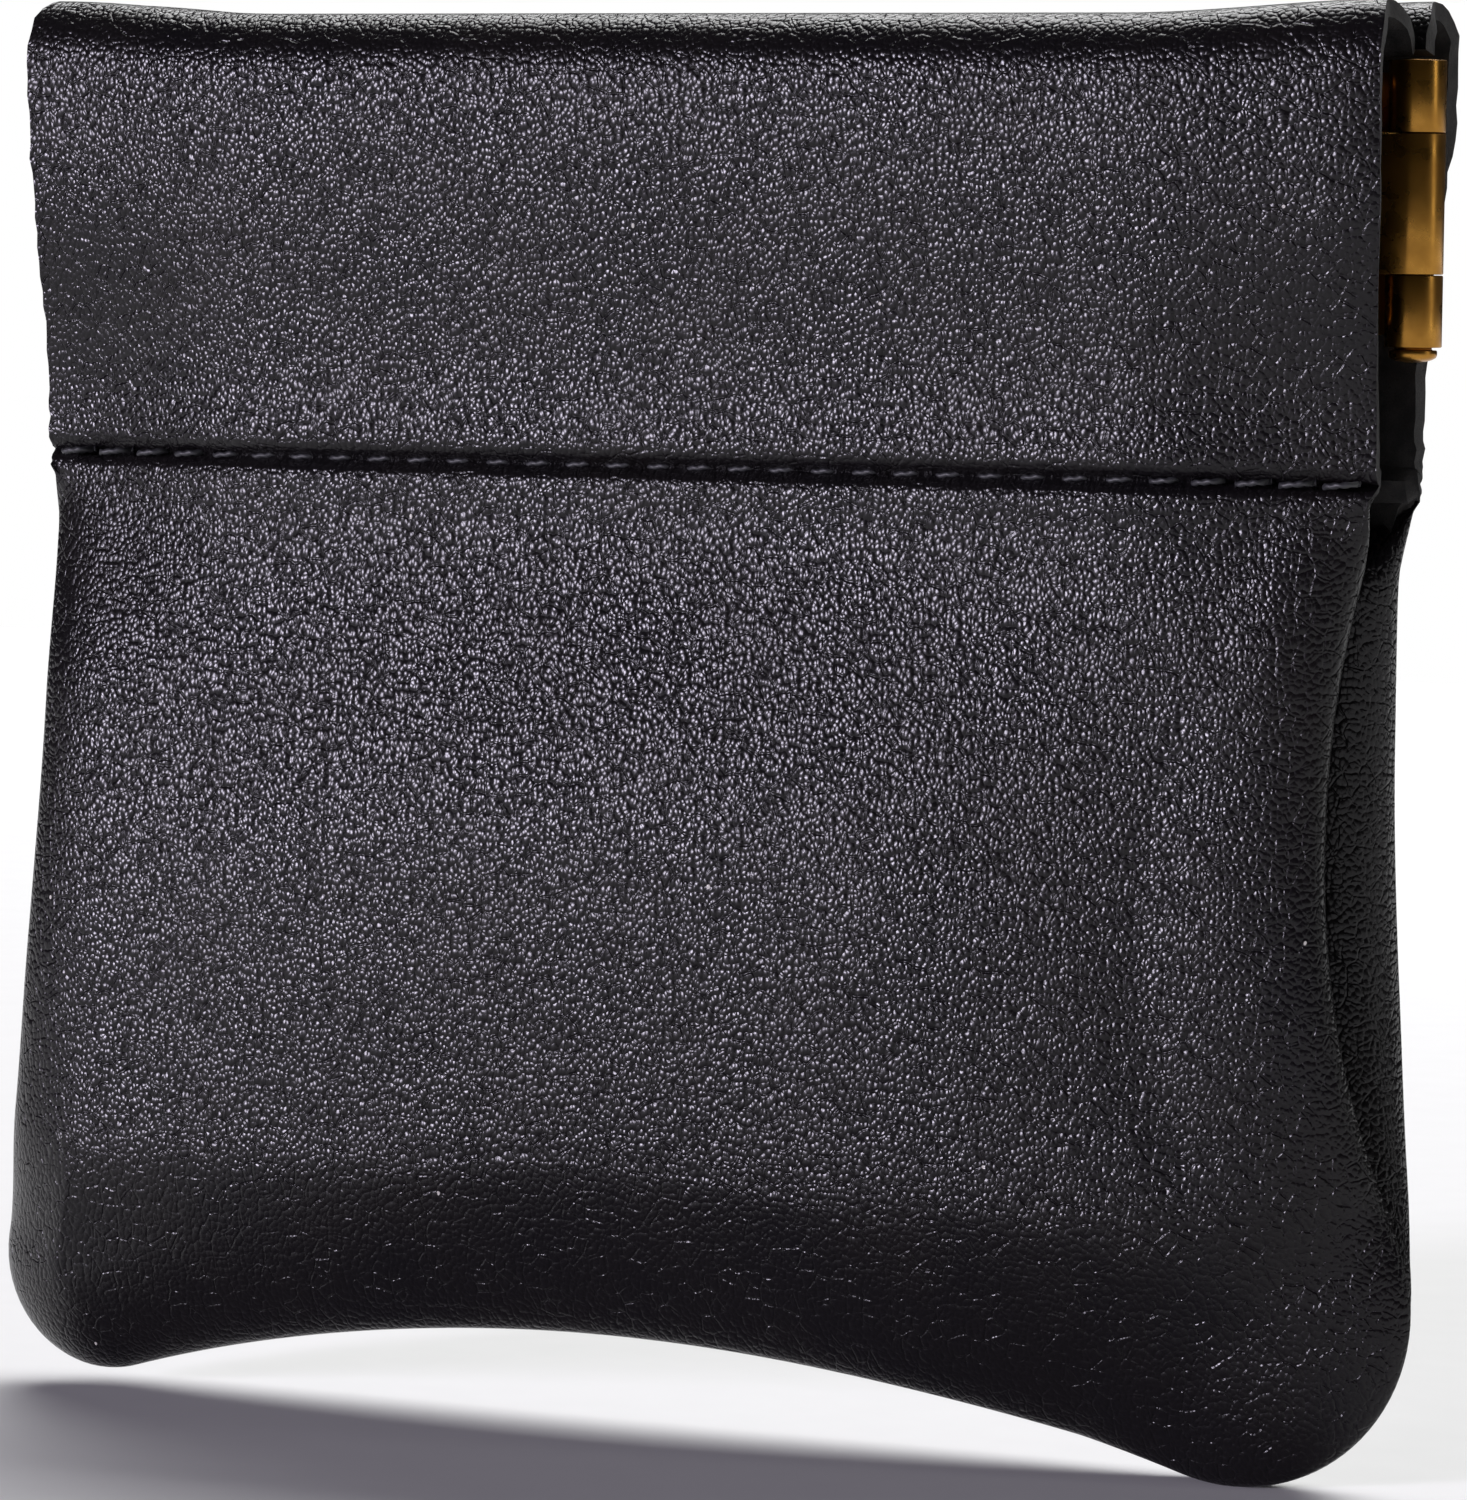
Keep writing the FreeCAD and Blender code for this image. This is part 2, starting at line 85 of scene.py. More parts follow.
class Side(Enum):
    """A face of the purse, valued by the sign of its Y."""

    FRONT = -1
    BACK = 1

    @property
    def label(self) -> str:
        """The face's name as the pieces and bodies use it."""
        return self.name.lower()


# Shared helpers


def linear(colour: str) -> Colour:
    """Turns an sRGB hex colour into linear light.

    Args:
        colour: six hex digits after a hash sign.

    Returns:
        Red, green, blue and an alpha of one.
    """
    channels = [int(colour[start : start + 2], 16) / 255 for start in (1, 3, 5)]
    light = [c / 12.92 if c <= 0.04045 else ((c + 0.055) / 1.055) ** 2.4 for c in channels]
    return (*light, 1.0)


def set_inputs(tree: Tree, node: Node, inputs: dict[str | int, object]) -> None:
    """Feeds a node.

    Args:
        tree: the node's tree.
        node: the node to feed.
        inputs: for each input socket, a value or the output socket that feeds it.
    """
    for socket, value in inputs.items():
        if isinstance(value, Socket):
            tree.links.new(value, node.inputs[socket])
        else:
            node.inputs[socket].default_value = value


def add_node(tree: Tree, kind: str, inputs: dict[str | int, object], **settings: object) -> Node:
    """Adds a node to a tree.

    Args:
        tree: the tree of a material or of the world.
        kind: the node's type, without its ShaderNode prefix.
        inputs: for each input socket, a value or the output socket that feeds it.
        settings: the node's own properties.

    Returns:
        The new node.
    """
    node = tree.nodes.new("ShaderNode" + kind)
    for name, value in settings.items():
        setattr(node, name, value)
    set_inputs(tree, node, inputs)
    return node


def new_material(name: str) -> tuple[Material, Tree, Node]:
    """Makes a material with a bare Principled shader.

    Args:
        name: the material's name.

    Returns:
        The material, its node tree and the shader.
    """
    material = bpy.data.materials.new(name)
    material.use_nodes = True
    return material, material.node_tree, material.node_tree.nodes["Principled BSDF"]


def millimetre_place(tree: Tree, x_stretch: float = 1.0) -> Socket:
    """Gives the place on the object in millimetres.

    Args:
        tree: the material's node tree.
        x_stretch: how much longer than wide a pattern comes out along X.

    Returns:
        The socket with the place.
    """
    place = add_node(tree, "TexCoord", {}).outputs["Object"]
    scale = (1 / (MM * x_stretch), 1 / MM, 1 / MM)
    return add_node(tree, "Mapping", {"Vector": place, "Scale": scale}).outputs["Vector"]


def smooth_share(value: Array | float, start: float = 0.0, end: float = 1.0) -> Array:
    """Eases from zero at the start to one at the end, and holds outside them."""
    share = np.clip((value - start) / (end - start), 0.0, 1.0)
    return share * share * (3 - 2 * share)


def steps(start: float, end: float, count: int) -> Array:
    """The ends of equal steps between two values."""
    return np.linspace(start, end, count + 1)[1:]


def growing_steps(length: float, first: float, widest: float, growth: float) -> Array:
    """Divides a length into steps that start small and grow.

    Args:
        length: the whole length.
        first: about how long the first step is.
        widest: about how long the longest steps are.
        growth: how much longer each step is than the one before.

    Returns:
        The distances of the steps' ends, zero and the length included.
    """
    ends = [0.0]
    step = first
    while ends[-1] < length:
        ends.append(ends[-1] + step)
        step = min(step * growth, widest)
    return np.array(ends) * length / ends[-1]


def clear_selection() -> None:
    """Deselects every object, so that an operator acts on the new piece alone."""
    bpy.ops.object.select_all(action="DESELECT")


def make_active(piece: Piece) -> None:
    """Selects one piece alone and makes it active.

    Args:
        piece: the object to act on.
    """
    clear_selection()
    piece.select_set(True)
    bpy.context.view_layer.objects.active = piece


def mesh_piece(name: str, points: Array, faces: list[Sequence[int]]) -> Piece:
    """Makes an object from points in millimetres.

    Args:
        name: the piece's name.
        points: one row of X, Y and Z for each point.
        faces: the points' numbers of each face, anticlockwise from outside.

    Returns:
        The object, linked to the scene.
    """
    mesh = bpy.data.meshes.new(name)
    mesh.from_pydata((points * MM).tolist(), [], faces)
    mesh.update()
    piece = bpy.data.objects.new(name, mesh)
    bpy.context.scene.collection.objects.link(piece)
    return piece


def apply_modifier(piece: Piece, kind: str, **settings: object) -> None:
    """Adds a modifier to a piece and applies it.

    Args:
        piece: the object to change.
        kind: the modifier's type.
        settings: the modifier's own properties.
    """
    make_active(piece)
    modifier = piece.modifiers.new(kind.title(), kind)
    for name, value in settings.items():
        setattr(modifier, name, value)
    bpy.ops.object.modifier_apply(modifier=modifier.name)


def select_points(piece: Piece, test: Callable[[Vector], bool], mode: str = "EDGE") -> None:
    """Selects the parts of a mesh whose points all pass a test, and leaves the piece in edit mode.

    Args:
        piece: the active object.
        test: takes a place in millimetres and says whether it counts.
        mode: which parts are selected: VERT, EDGE or FACE.
    """
    bpy.ops.object.mode_set(mode="EDIT")
    bpy.ops.mesh.select_mode(type=mode)
    bpy.ops.mesh.select_all(action="DESELECT")
    bpy.ops.object.mode_set(mode="OBJECT")
    mesh = piece.data
    chosen = [test(point.co / MM) for point in mesh.vertices]
    if mode == "VERT":
        mesh.vertices.foreach_set("select", chosen)
    else:
        parts = mesh.edges if mode == "EDGE" else mesh.polygons
        parts.foreach_set("select", [all(chosen[v] for v in part.vertices) for part in parts])
    bpy.ops.object.mode_set(mode="EDIT")


def extrude(shift: tuple[float, float, float], spread: float = 1.0) -> None:
    """Extrudes what is selected.

    Args:
        shift: how far, in millimetres.
        spread: how much wider the new part gets along X and Y.
    """
    bpy.ops.mesh.extrude_region_move(TRANSFORM_OT_translate={"value": [length * MM for length in shift]})
    if spread != 1:
        bpy.ops.transform.resize(value=(spread, spread, 1))


def round_edges(piece: Piece, width: float, least_angle: float) -> None:
    """Rounds the edges of a metal piece that are sharper than an angle in radians, and shades it smooth."""
    apply_modifier(piece, "BEVEL", width=width * MM, segments=METAL_EDGE_STEPS, angle_limit=least_angle)
    bpy.ops.object.shade_smooth_by_angle(angle=METAL_CREASE_ANGLE)


# Finishes


@dataclass(frozen=True)
class PebbledLeather:
    """Black polyurethane-coated leather, embossed by a roller with a fine pebble grain.

    Small pebbles catch sharp glints where the light falls. Torn upright cracks between groups of them stay
    black, and a few specks of dust lie on it.
    """

    colour: str = "#0b0a0e"
    warm_colour: str = "#120f0f"
    dust_colour: str = "#b9b6b0"
    upright_share: float = 1.2
    wander_mm: float = 0.9
    wander_detail: float = 3.0
    wander_share: float = 0.35
    pebble_mm: float = 0.3
    crack_mm: float = 0.9
    crack_width_share: float = 0.11
    crack_depth_share: float = 0.7
    patch_mm: float = 1.8
    patch_detail: float = 2.0
    patch_range: Range = (0.38, 0.62)
    grain_depth_mm: float = 0.066
    mottle_mm: float = 7.0
    mottle_detail: float = 2.0
    mottle_range: Range = (0.35, 0.65)
    dust_spacing_mm: float = 24.0
    dust_share: float = 0.004
    roughness: Range = (0.23, 0.27)
    refraction: float = 1.34

    def material(self) -> Material:
        """Builds the leather's nodes.

        Returns:
            The material.
        """
        material, tree, shader = new_material("pebbled_pu_leather_black")
        sheet = add_node(tree, "Attribute", {}, attribute_name=SHEET_PLACE).outputs["Vector"]
        upright = (1.0, 1 / self.upright_share, 1.0)
        place = add_node(tree, "VectorMath", {0: sheet, 1: upright}, operation="MULTIPLY").outputs[0]

        # the grain wanders, so that its cracks look torn and not drawn
        wander = add_node(
            tree, "TexNoise", {"Vector": place, "Scale": 1 / self.wander_mm, "Detail": self.wander_detail}
        ).outputs["Color"]
        shift = add_node(tree, "VectorMath", {0: wander, 1: (0.5, 0.5, 0.5)}, operation="SUBTRACT").outputs[0]
        pull = add_node(
            tree, "VectorMath", {0: shift, "Scale": self.wander_share}, operation="SCALE"
        ).outputs[0]
        bent = add_node(tree, "VectorMath", {0: place, 1: pull}, operation="ADD").outputs[0]

        # small round pebbles, as depths below their tops
        distance = add_node(
            tree, "TexVoronoi", {"Vector": bent, "Scale": 1 / self.pebble_mm}, voronoi_dimensions="2D"
        ).outputs["Distance"]
        dome = add_node(tree, "Math", {0: distance, 1: distance}, operation="MULTIPLY").outputs["Value"]

        # cracks between groups of pebbles, which fade out here and there
        edge = add_node(
            tree,
            "TexVoronoi",
            {"Vector": bent, "Scale": 1 / self.crack_mm},
            voronoi_dimensions="2D",
            feature="DISTANCE_TO_EDGE",
        ).outputs["Distance"]
        crack = add_node(
            tree,
            "MapRange",
            {"Value": edge, "From Max": self.crack_width_share, "To Min": 1.0, "To Max": 0.0},
            interpolation_type="SMOOTHSTEP",
        ).outputs["Result"]
        patches = add_node(
            tree, "TexNoise", {"Vector": place, "Scale": 1 / self.patch_mm, "Detail": self.patch_detail}
        ).outputs["Fac"]
        fade = add_node(
            tree,
            "MapRange",
            {
                "Value": patches,
                "From Min": self.patch_range[0],
                "From Max": self.patch_range[1],
                "To Max": self.crack_depth_share,
            },
        ).outputs["Result"]
        depth = add_node(tree, "Math", {0: crack, 1: fade, 2: dome}, operation="MULTIPLY_ADD").outputs[0]
        bump = add_node(
            tree,
            "Bump",
            {"Height": depth, "Strength": 1.0, "Distance": self.grain_depth_mm * MM},
            invert=True,
        ).outputs["Normal"]

        # broad mottling: some stretches are duller and warmer than others
        mottle = add_node(
            tree, "TexNoise", {"Vector": place, "Scale": 1 / self.mottle_mm, "Detail": self.mottle_detail}
        ).outputs["Fac"]
        roughness = add_node(
            tree,
            "MapRange",
            {
                "Value": mottle,
                "From Min": self.mottle_range[0],
                "From Max": self.mottle_range[1],
                "To Min": self.roughness[0],
                "To Max": self.roughness[1],
            },
        ).outputs["Result"]
        tint = add_node(
            tree,
            "Mix",
            {MIX_SHARE: mottle, MIX_FIRST: linear(self.colour), MIX_SECOND: linear(self.warm_colour)},
            data_type="RGBA",
        ).outputs[MIX_RESULT]

        # a few specks of pale dust
        specks = add_node(
            tree, "TexVoronoi", {"Vector": bent, "Scale": 1 / self.dust_spacing_mm}, voronoi_dimensions="2D"
        ).outputs["Distance"]
        dust = add_node(tree, "Math", {0: specks, 1: self.dust_share}, operation="LESS_THAN").outputs["Value"]
        skin = add_node(
            tree,
            "Mix",
            {MIX_SHARE: dust, MIX_FIRST: tint, MIX_SECOND: linear(self.dust_colour)},
            data_type="RGBA",
        ).outputs[MIX_RESULT]
        looks = {"Base Color": skin, "Roughness": roughness, "Normal": bump, "IOR": self.refraction}
        set_inputs(tree, shader, looks)
        return material


@dataclass(frozen=True)
class FeltBacking:
    """Grey-black non-woven backing of the leather: a matted felt of short fibres, dull and slightly fuzzy."""

    dark_colour: str = "#080708"
    pale_colour: str = "#2e2b2a"
    # real fibres, about 0.02 mm thick, are too fine to show, so they are drawn coarser
    fibre_mm: float = 0.16
    fibre_detail: float = 4.0
    fibre_curl: float = 2.5
    clump_mm: float = 1.1
    clump_detail: float = 2.0
    fuzz_range: Range = (0.15, 0.42)
    fuzz_depth_mm: float = 0.16
    roughness: float = 0.95
    sheen: float = 0.05

    def material(self) -> Material:
        """Builds the felt's nodes.

        Returns:
            The material.
        """
        material, tree, shader = new_material("nonwoven_felt_grey")
        place = millimetre_place(tree)
        fibres = add_node(
            tree,
            "TexNoise",
            {
                "Vector": place,
                "Scale": 1 / self.fibre_mm,
                "Detail": self.fibre_detail,
                "Distortion": self.fibre_curl,
            },
        ).outputs["Fac"]
        clumps = add_node(
            tree, "TexNoise", {"Vector": place, "Scale": 1 / self.clump_mm, "Detail": self.clump_detail}
        ).outputs["Fac"]
        fuzz = add_node(tree, "Math", {0: fibres, 1: clumps}, operation="MULTIPLY").outputs["Value"]
        share = add_node(
            tree,
            "MapRange",
            {"Value": fuzz, "From Min": self.fuzz_range[0], "From Max": self.fuzz_range[1]},
        ).outputs["Result"]
        colour = add_node(
            tree,
            "Mix",
            {MIX_SHARE: share, MIX_FIRST: linear(self.dark_colour), MIX_SECOND: linear(self.pale_colour)},
            data_type="RGBA",
        ).outputs[MIX_RESULT]
        bump = add_node(
            tree, "Bump", {"Height": fuzz, "Strength": 1.0, "Distance": self.fuzz_depth_mm * MM}
        ).outputs["Normal"]
        looks = {
            "Base Color": colour,
            "Normal": bump,
            "Roughness": self.roughness,
            "Sheen Weight": self.sheen,
        }
        set_inputs(tree, shader, looks)
        return material


@dataclass(frozen=True)
class PlatedSteel:
    """Spring steel with a satin brass plating: warm gold in the light, brown in the shade, blotched."""

    colour: str = "#c39142"
    tarnish_colour: str = "#865b24"
    tarnish_mm: float = 1.6
    tarnish_detail: float = 3.0
    tarnish_range: Range = (0.35, 0.65)
    # a real satin grit is too fine to show, so it is drawn coarser
    satin_mm: float = 0.12
    satin_detail: float = 2.0
    satin_depth_mm: float = 0.003
    satin_strength: float = 0.5
    roughness: Range = (0.24, 0.36)

    def material(self) -> Material:
        """Builds the plating's nodes.

        Returns:
            The material.
        """
        material, tree, shader = new_material("brass_plated_steel_satin")
        place = millimetre_place(tree)
        tarnish = add_node(
            tree, "TexNoise", {"Vector": place, "Scale": 1 / self.tarnish_mm, "Detail": self.tarnish_detail}
        ).outputs["Fac"]
        colour = add_node(
            tree,
            "Mix",
            {MIX_SHARE: tarnish, MIX_FIRST: linear(self.colour), MIX_SECOND: linear(self.tarnish_colour)},
            data_type="RGBA",
        ).outputs[MIX_RESULT]
        roughness = add_node(
            tree,
            "MapRange",
            {
                "Value": tarnish,
                "From Min": self.tarnish_range[0],
                "From Max": self.tarnish_range[1],
                "To Min": self.roughness[0],
                "To Max": self.roughness[1],
            },
        ).outputs["Result"]
        satin = add_node(
            tree, "TexNoise", {"Vector": place, "Scale": 1 / self.satin_mm, "Detail": self.satin_detail}
        ).outputs["Fac"]
        bump = add_node(
            tree,
            "Bump",
            {"Height": satin, "Strength": self.satin_strength, "Distance": self.satin_depth_mm * MM},
        ).outputs["Normal"]
        looks = {"Base Color": colour, "Roughness": roughness, "Normal": bump, "Metallic": 1.0}
        set_inputs(tree, shader, looks)
        return material


@dataclass(frozen=True)
class TwistedPolyester:
    """Dark grey polyester sewing thread: twisted plies with a faint silky shine along the fibres."""

    colour: str = "#141416"
    pale_colour: str = "#323236"
    # real fibres, about 0.02 mm thick, are too fine to show, so they are drawn coarser
    fibre_mm: float = 0.06
    fibre_stretch: float = 6.0
    fibre_detail: float = 2.0
    fibre_depth_mm: float = 0.02
    fibre_strength: float = 0.8
    roughness: float = 0.5

    def material(self) -> Material:
        """Builds the thread's nodes.

        Returns:
            The material.
        """
        material, tree, shader = new_material("polyester_thread_dark_grey")
        along = millimetre_place(tree, self.fibre_stretch)
        fibres = add_node(
            tree, "TexNoise", {"Vector": along, "Scale": 1 / self.fibre_mm, "Detail": self.fibre_detail}
        ).outputs["Fac"]
        colour = add_node(
            tree,
            "Mix",
            {MIX_SHARE: fibres, MIX_FIRST: linear(self.colour), MIX_SECOND: linear(self.pale_colour)},
            data_type="RGBA",
        ).outputs[MIX_RESULT]
        bump = add_node(
            tree,
            "Bump",
            {"Height": fibres, "Strength": self.fibre_strength, "Distance": self.fibre_depth_mm * MM},
        ).outputs["Normal"]
        set_inputs(tree, shader, {"Base Color": colour, "Normal": bump, "Roughness": self.roughness})
        return material


@dataclass(frozen=True)
class PaleSweep:
    """Matt white paper sweep under the purse, with a barely visible tooth."""

    colour: str = "#e6e6e6"
    shade_colour: str = "#e2e2e2"
    tooth_mm: float = 4.0
    tooth_detail: float = 2.0
    roughness: float = 0.9

    def material(self) -> Material:
        """Builds the paper's nodes.

        Returns:
            The material.
        """
        material, tree, shader = new_material("matt_white_paper")
        place = millimetre_place(tree)
        tooth = add_node(
            tree, "TexNoise", {"Vector": place, "Scale": 1 / self.tooth_mm, "Detail": self.tooth_detail}
        ).outputs["Fac"]
        colour = add_node(
            tree,
            "Mix",
            {MIX_SHARE: tooth, MIX_FIRST: linear(self.colour), MIX_SECOND: linear(self.shade_colour)},
            data_type="RGBA",
        ).outputs[MIX_RESULT]
        set_inputs(tree, shader, {"Base Color": colour, "Roughness": self.roughness})
        return material


# Motion of the leather with the frame


@dataclass(frozen=True)
class SqueezeMotion:
    """What a full squeeze of the frame's ends does, in millimetres and radians."""

    pin_x: float
    bow_y: float
    hinge_turn: float
    bow_turn: float
    pin_travel: float
    tilt_turn: float
    tilt_z: float
    flat_z: float = 60.0
    rigid_z: float = 7.0
    least_lever: float = 1.0
    samples: int = 121

    @classmethod
    def from_frame(cls, joints: list[dict]) -> "SqueezeMotion":
        """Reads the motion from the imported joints.

        Args:
            joints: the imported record's joints.

        Returns:
            The motion.
        """
        named = {joint["name"]: joint for joint in joints}
        return cls(
            pin_x=named["squeeze"]["pos_m"][0] / MM,
            bow_y=-named["front_strip_bow"]["pos_m"][1] / MM,
            hinge_turn=math.radians(named["squeeze"]["range_deg"][1]),
            bow_turn=math.radians(named["front_strip_bow"]["range_deg"][1]),
            pin_travel=named["right_end_squeeze"]["range_m"][1] / MM,
            tilt_turn=math.radians(named["front_tilt"]["range_deg"][1]),
            tilt_z=named["front_tilt"]["pos_m"][2] / MM,
        )

    def push(self, across: Array) -> Array:
        """Says how far the bowed strip has moved outwards.

        Args:
            across: distances from the middle along X.

        Returns:
            The outward distances, zero past the pins.
        """
        rest = np.linspace(self.pin_x, -self.pin_x, self.samples)
        bow = -self.bow_turn * smooth_share(rest, self.pin_x, -self.pin_x)
        bowed_x = rest * np.cos(bow) - self.pin_x
        bowed_y = rest * np.sin(bow) - self.bow_y
        cos, sin = math.cos(self.hinge_turn), math.sin(self.hinge_turn)
        posed_x = self.pin_x - self.pin_travel + bowed_x * cos - bowed_y * sin
        posed_y = bowed_x * sin + bowed_y * cos
        outward = np.maximum(-posed_y - self.bow_y, 0.0)
        return np.interp(across, posed_x[::-1], outward[::-1], left=0.0, right=0.0)

    def weights(self, points: Array, half_widths: Array) -> Array:
        """Works out how much of the panel's tilt each point of the leather takes.

        Args:
            points: places at rest.
            half_widths: for each point, how far from the middle the leather is held still.

        Returns:
            The shares of the tilt.
        """
        reach = self.pin_x - self.pin_travel
        outward = self.push(points[:, 0] * reach / half_widths)
        rise = np.clip((points[:, 2] - self.rigid_z) / (self.flat_z - self.rigid_z), 0.0, 1.0)
        above = np.maximum(points[:, 2] - self.tilt_z, self.least_lever)
        return np.arctan2(outward * rise, above) / self.tilt_turn

    def bend(self, piece: Piece, half_width: Callable[[Array], Array]) -> None:
        """Bakes a finished piece's place and works out how much of the frame's tilt each of its points would
        take as leather; the shares are not applied.

        Args:
            piece: the leather or thread, at rest.
            half_width: gives the still half width for heights along Z.
        """
        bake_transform(piece)
        points = np.empty(len(piece.data.vertices) * 3)
        piece.data.vertices.foreach_get("co", points)
        points = points.reshape(-1, 3) / MM
        shares = self.weights(points, half_width(points[:, 2]))


# The leather


def run_lengths(lines: Array) -> Array:
    """How far each row of points lies from the first one, measured from row to row."""
    return np.cumsum(np.linalg.norm(np.diff(lines, axis=0), axis=-1), axis=0)


def round_rim(left: Array, bottom: Array, right: Array) -> Array:
    """Joins what runs down the left side, along the bottom and down the right side into one path."""
    return np.concatenate([left, bottom[1:-1], right[::-1]])


def numbered(*stretches: Array) -> list[Array]:
    """Numbers the points of some grids one after another.

    Args:
        stretches: each grid's points, in rows and columns.

    Returns:
        Each grid's numbers.
    """
    numbers, first = [], 0
    for stretch in stretches:
        count = stretch.shape[0] * stretch.shape[1]
        numbers.append(first + np.arange(count).reshape(stretch.shape[:2]))
        first += count
    return numbers


def grid_quads(ids: Array) -> Array:
    """The four points of each face of a grid of numbered points."""
    return np.stack([ids[:-1, :-1], ids[1:, :-1], ids[1:, 1:], ids[:-1, 1:]], axis=-1)


@dataclass(frozen=True)
class Arc:
    """A stretch of the outline in the XZ plane. Facing is 1 where the outside lies away from the centre."""

    centre: Array
    radius: float
    start: float
    end: float
    facing: int

    @property
    def length(self) -> float:
        """How long the stretch is."""
        return self.radius * abs(self.end - self.start)

    def sample(self, distances: Array) -> tuple[Array, Array]:
        """Gives points of the arc and the directions that face out of the pouch.

        Args:
            distances: along the arc, from its start.

        Returns:
            The points and the directions, each as rows of X and Z.
        """
        turns = self.start + math.copysign(1, self.end - self.start) * distances / self.radius
        radial = np.stack([np.cos(turns), np.sin(turns)], axis=-1)
        return self.centre + self.radius * radial, self.facing * radial


@dataclass(frozen=True)
class HalfOutline:
    """One half of the outline, drawn as the right one. It has a hollow side and a round drooping corner."""

    row_end_x: float
    corner_x: float
    corner_radius: float
    corner_lift: float
    side_radius: float

    def arcs(self, row_z: float, arch_x: float, arch_rise: float) -> list[Arc]:
        """Joins the arcs of this half.

        Args:
            row_z: the height of the stitch row, where the side ends.
            arch_x: where the top of the bottom edge's arch lies.
            arch_rise: how far it is above the lowest points.

        Returns:
            The bottom arch, the corner and the side, in the order that leads from the arch's top to the row.
        """
        corner = np.array([self.corner_x - self.corner_radius, self.corner_radius + self.corner_lift])
        row_end = np.array([self.row_end_x, row_z])
        along = corner - row_end
        apart = np.hypot(*along)
        reach = self.side_radius + self.corner_radius
        ahead = (self.side_radius**2 - reach**2 + apart**2) / (2 * apart)
        aside = math.sqrt(self.side_radius**2 - ahead**2)
        side = row_end + (along * ahead + np.array([-along[1], along[0]]) * aside) / apart
        under = corner[1] - arch_rise
        spread = corner[0] - arch_x
        droop = arch_rise - self.corner_lift
        arch_radius = (spread**2 + under**2 - self.corner_radius**2) / (2 * droop)
        arch = np.array([arch_x, arch_rise - arch_radius])
        arch_turn = math.atan2(*(corner - arch)[::-1])
        side_turn = math.atan2(*(side - corner)[::-1])
        row_turn = math.atan2(*(row_end - side)[::-1])
        return [
            Arc(arch, arch_radius, math.pi / 2, arch_turn, -1),
            Arc(corner, self.corner_radius, arch_turn - math.pi, side_turn, 1),
            Arc(side, self.side_radius, side_turn + math.pi, row_turn, -1),
        ]


@dataclass(frozen=True)
class PouchOutline:
    """The pouch seen from the front. The real one was turned out by hand, so its two corners differ."""

    row_z: float
    arch_x: float = -6.0
    arch_rise: float = 5.9
    left: HalfOutline = HalfOutline(
        row_end_x=43.2, corner_x=45.2, corner_radius=6.8, corner_lift=2.2, side_radius=140.0
    )
    right: HalfOutline = HalfOutline(
        row_end_x=42.3, corner_x=43.6, corner_radius=11.0, corner_lift=0.0, side_radius=150.0
    )

    def half(self, end: int) -> list[Arc]:
        """The arcs of one half, drawn as the right one. End is 1 for the right half, -1 for the left one."""
        half = self.right if end > 0 else self.left
        return half.arcs(self.row_z, end * self.arch_x, self.arch_rise)

    def lengths(self, end: int) -> tuple[float, float]:
        """How far along one half the middle of its corner is, and its end."""
        arch, corner, side = self.half(end)
        return arch.length + corner.length / 2, arch.length + corner.length + side.length

    def sample(self, distances: Array, end: int) -> tuple[Array, Array]:
        """Gives points of one half and the directions that face out of it.

        Args:
            distances: along the half, from the top of the bottom's arch.
            end: 1 for the right half and -1 for the left one.

        Returns:
            The points and the directions, each as rows of X and Z.
        """
        points = np.zeros((len(distances), 2))
        facings = np.zeros((len(distances), 2))
        behind = 0.0
        for arc in self.half(end):
            here = distances - behind
            inside = here >= 0 if behind else np.full(len(distances), True)
            found = arc.sample(np.clip(here, 0.0, arc.length))
            points[inside], facings[inside] = found[0][inside], found[1][inside]
            behind += arc.length
        mirror = np.array([float(end), 1.0])
        return points * mirror, facings * mirror


@dataclass(frozen=True)
class SeamCourse:
    """The line of the hidden seam: places and the directions out of the pouch, as rows of X and Z."""

    places: Array
    outward: Array

    @property
    def reach(self) -> Array:
        """How far along the line each of its places is."""
        return np.concatenate([[0.0], run_lengths(self.places)])

    def lay(self, points: Array) -> Array:
        """Lays a straight row along the line.

        Args:
            points: the row's points, with X along it from its middle and Z across it.

        Returns:
            The points on the purse.
        """
        reach = self.reach
        along = points[:, 0] + reach[-1] / 2
        laid = points.copy()
        for axis, column in ((0, 0), (2, 1)):
            place = np.interp(along, reach, self.places[:, column])
            facing = np.interp(along, reach, self.outward[:, column])
            laid[:, axis] = place + facing * points[:, 2]
        return laid


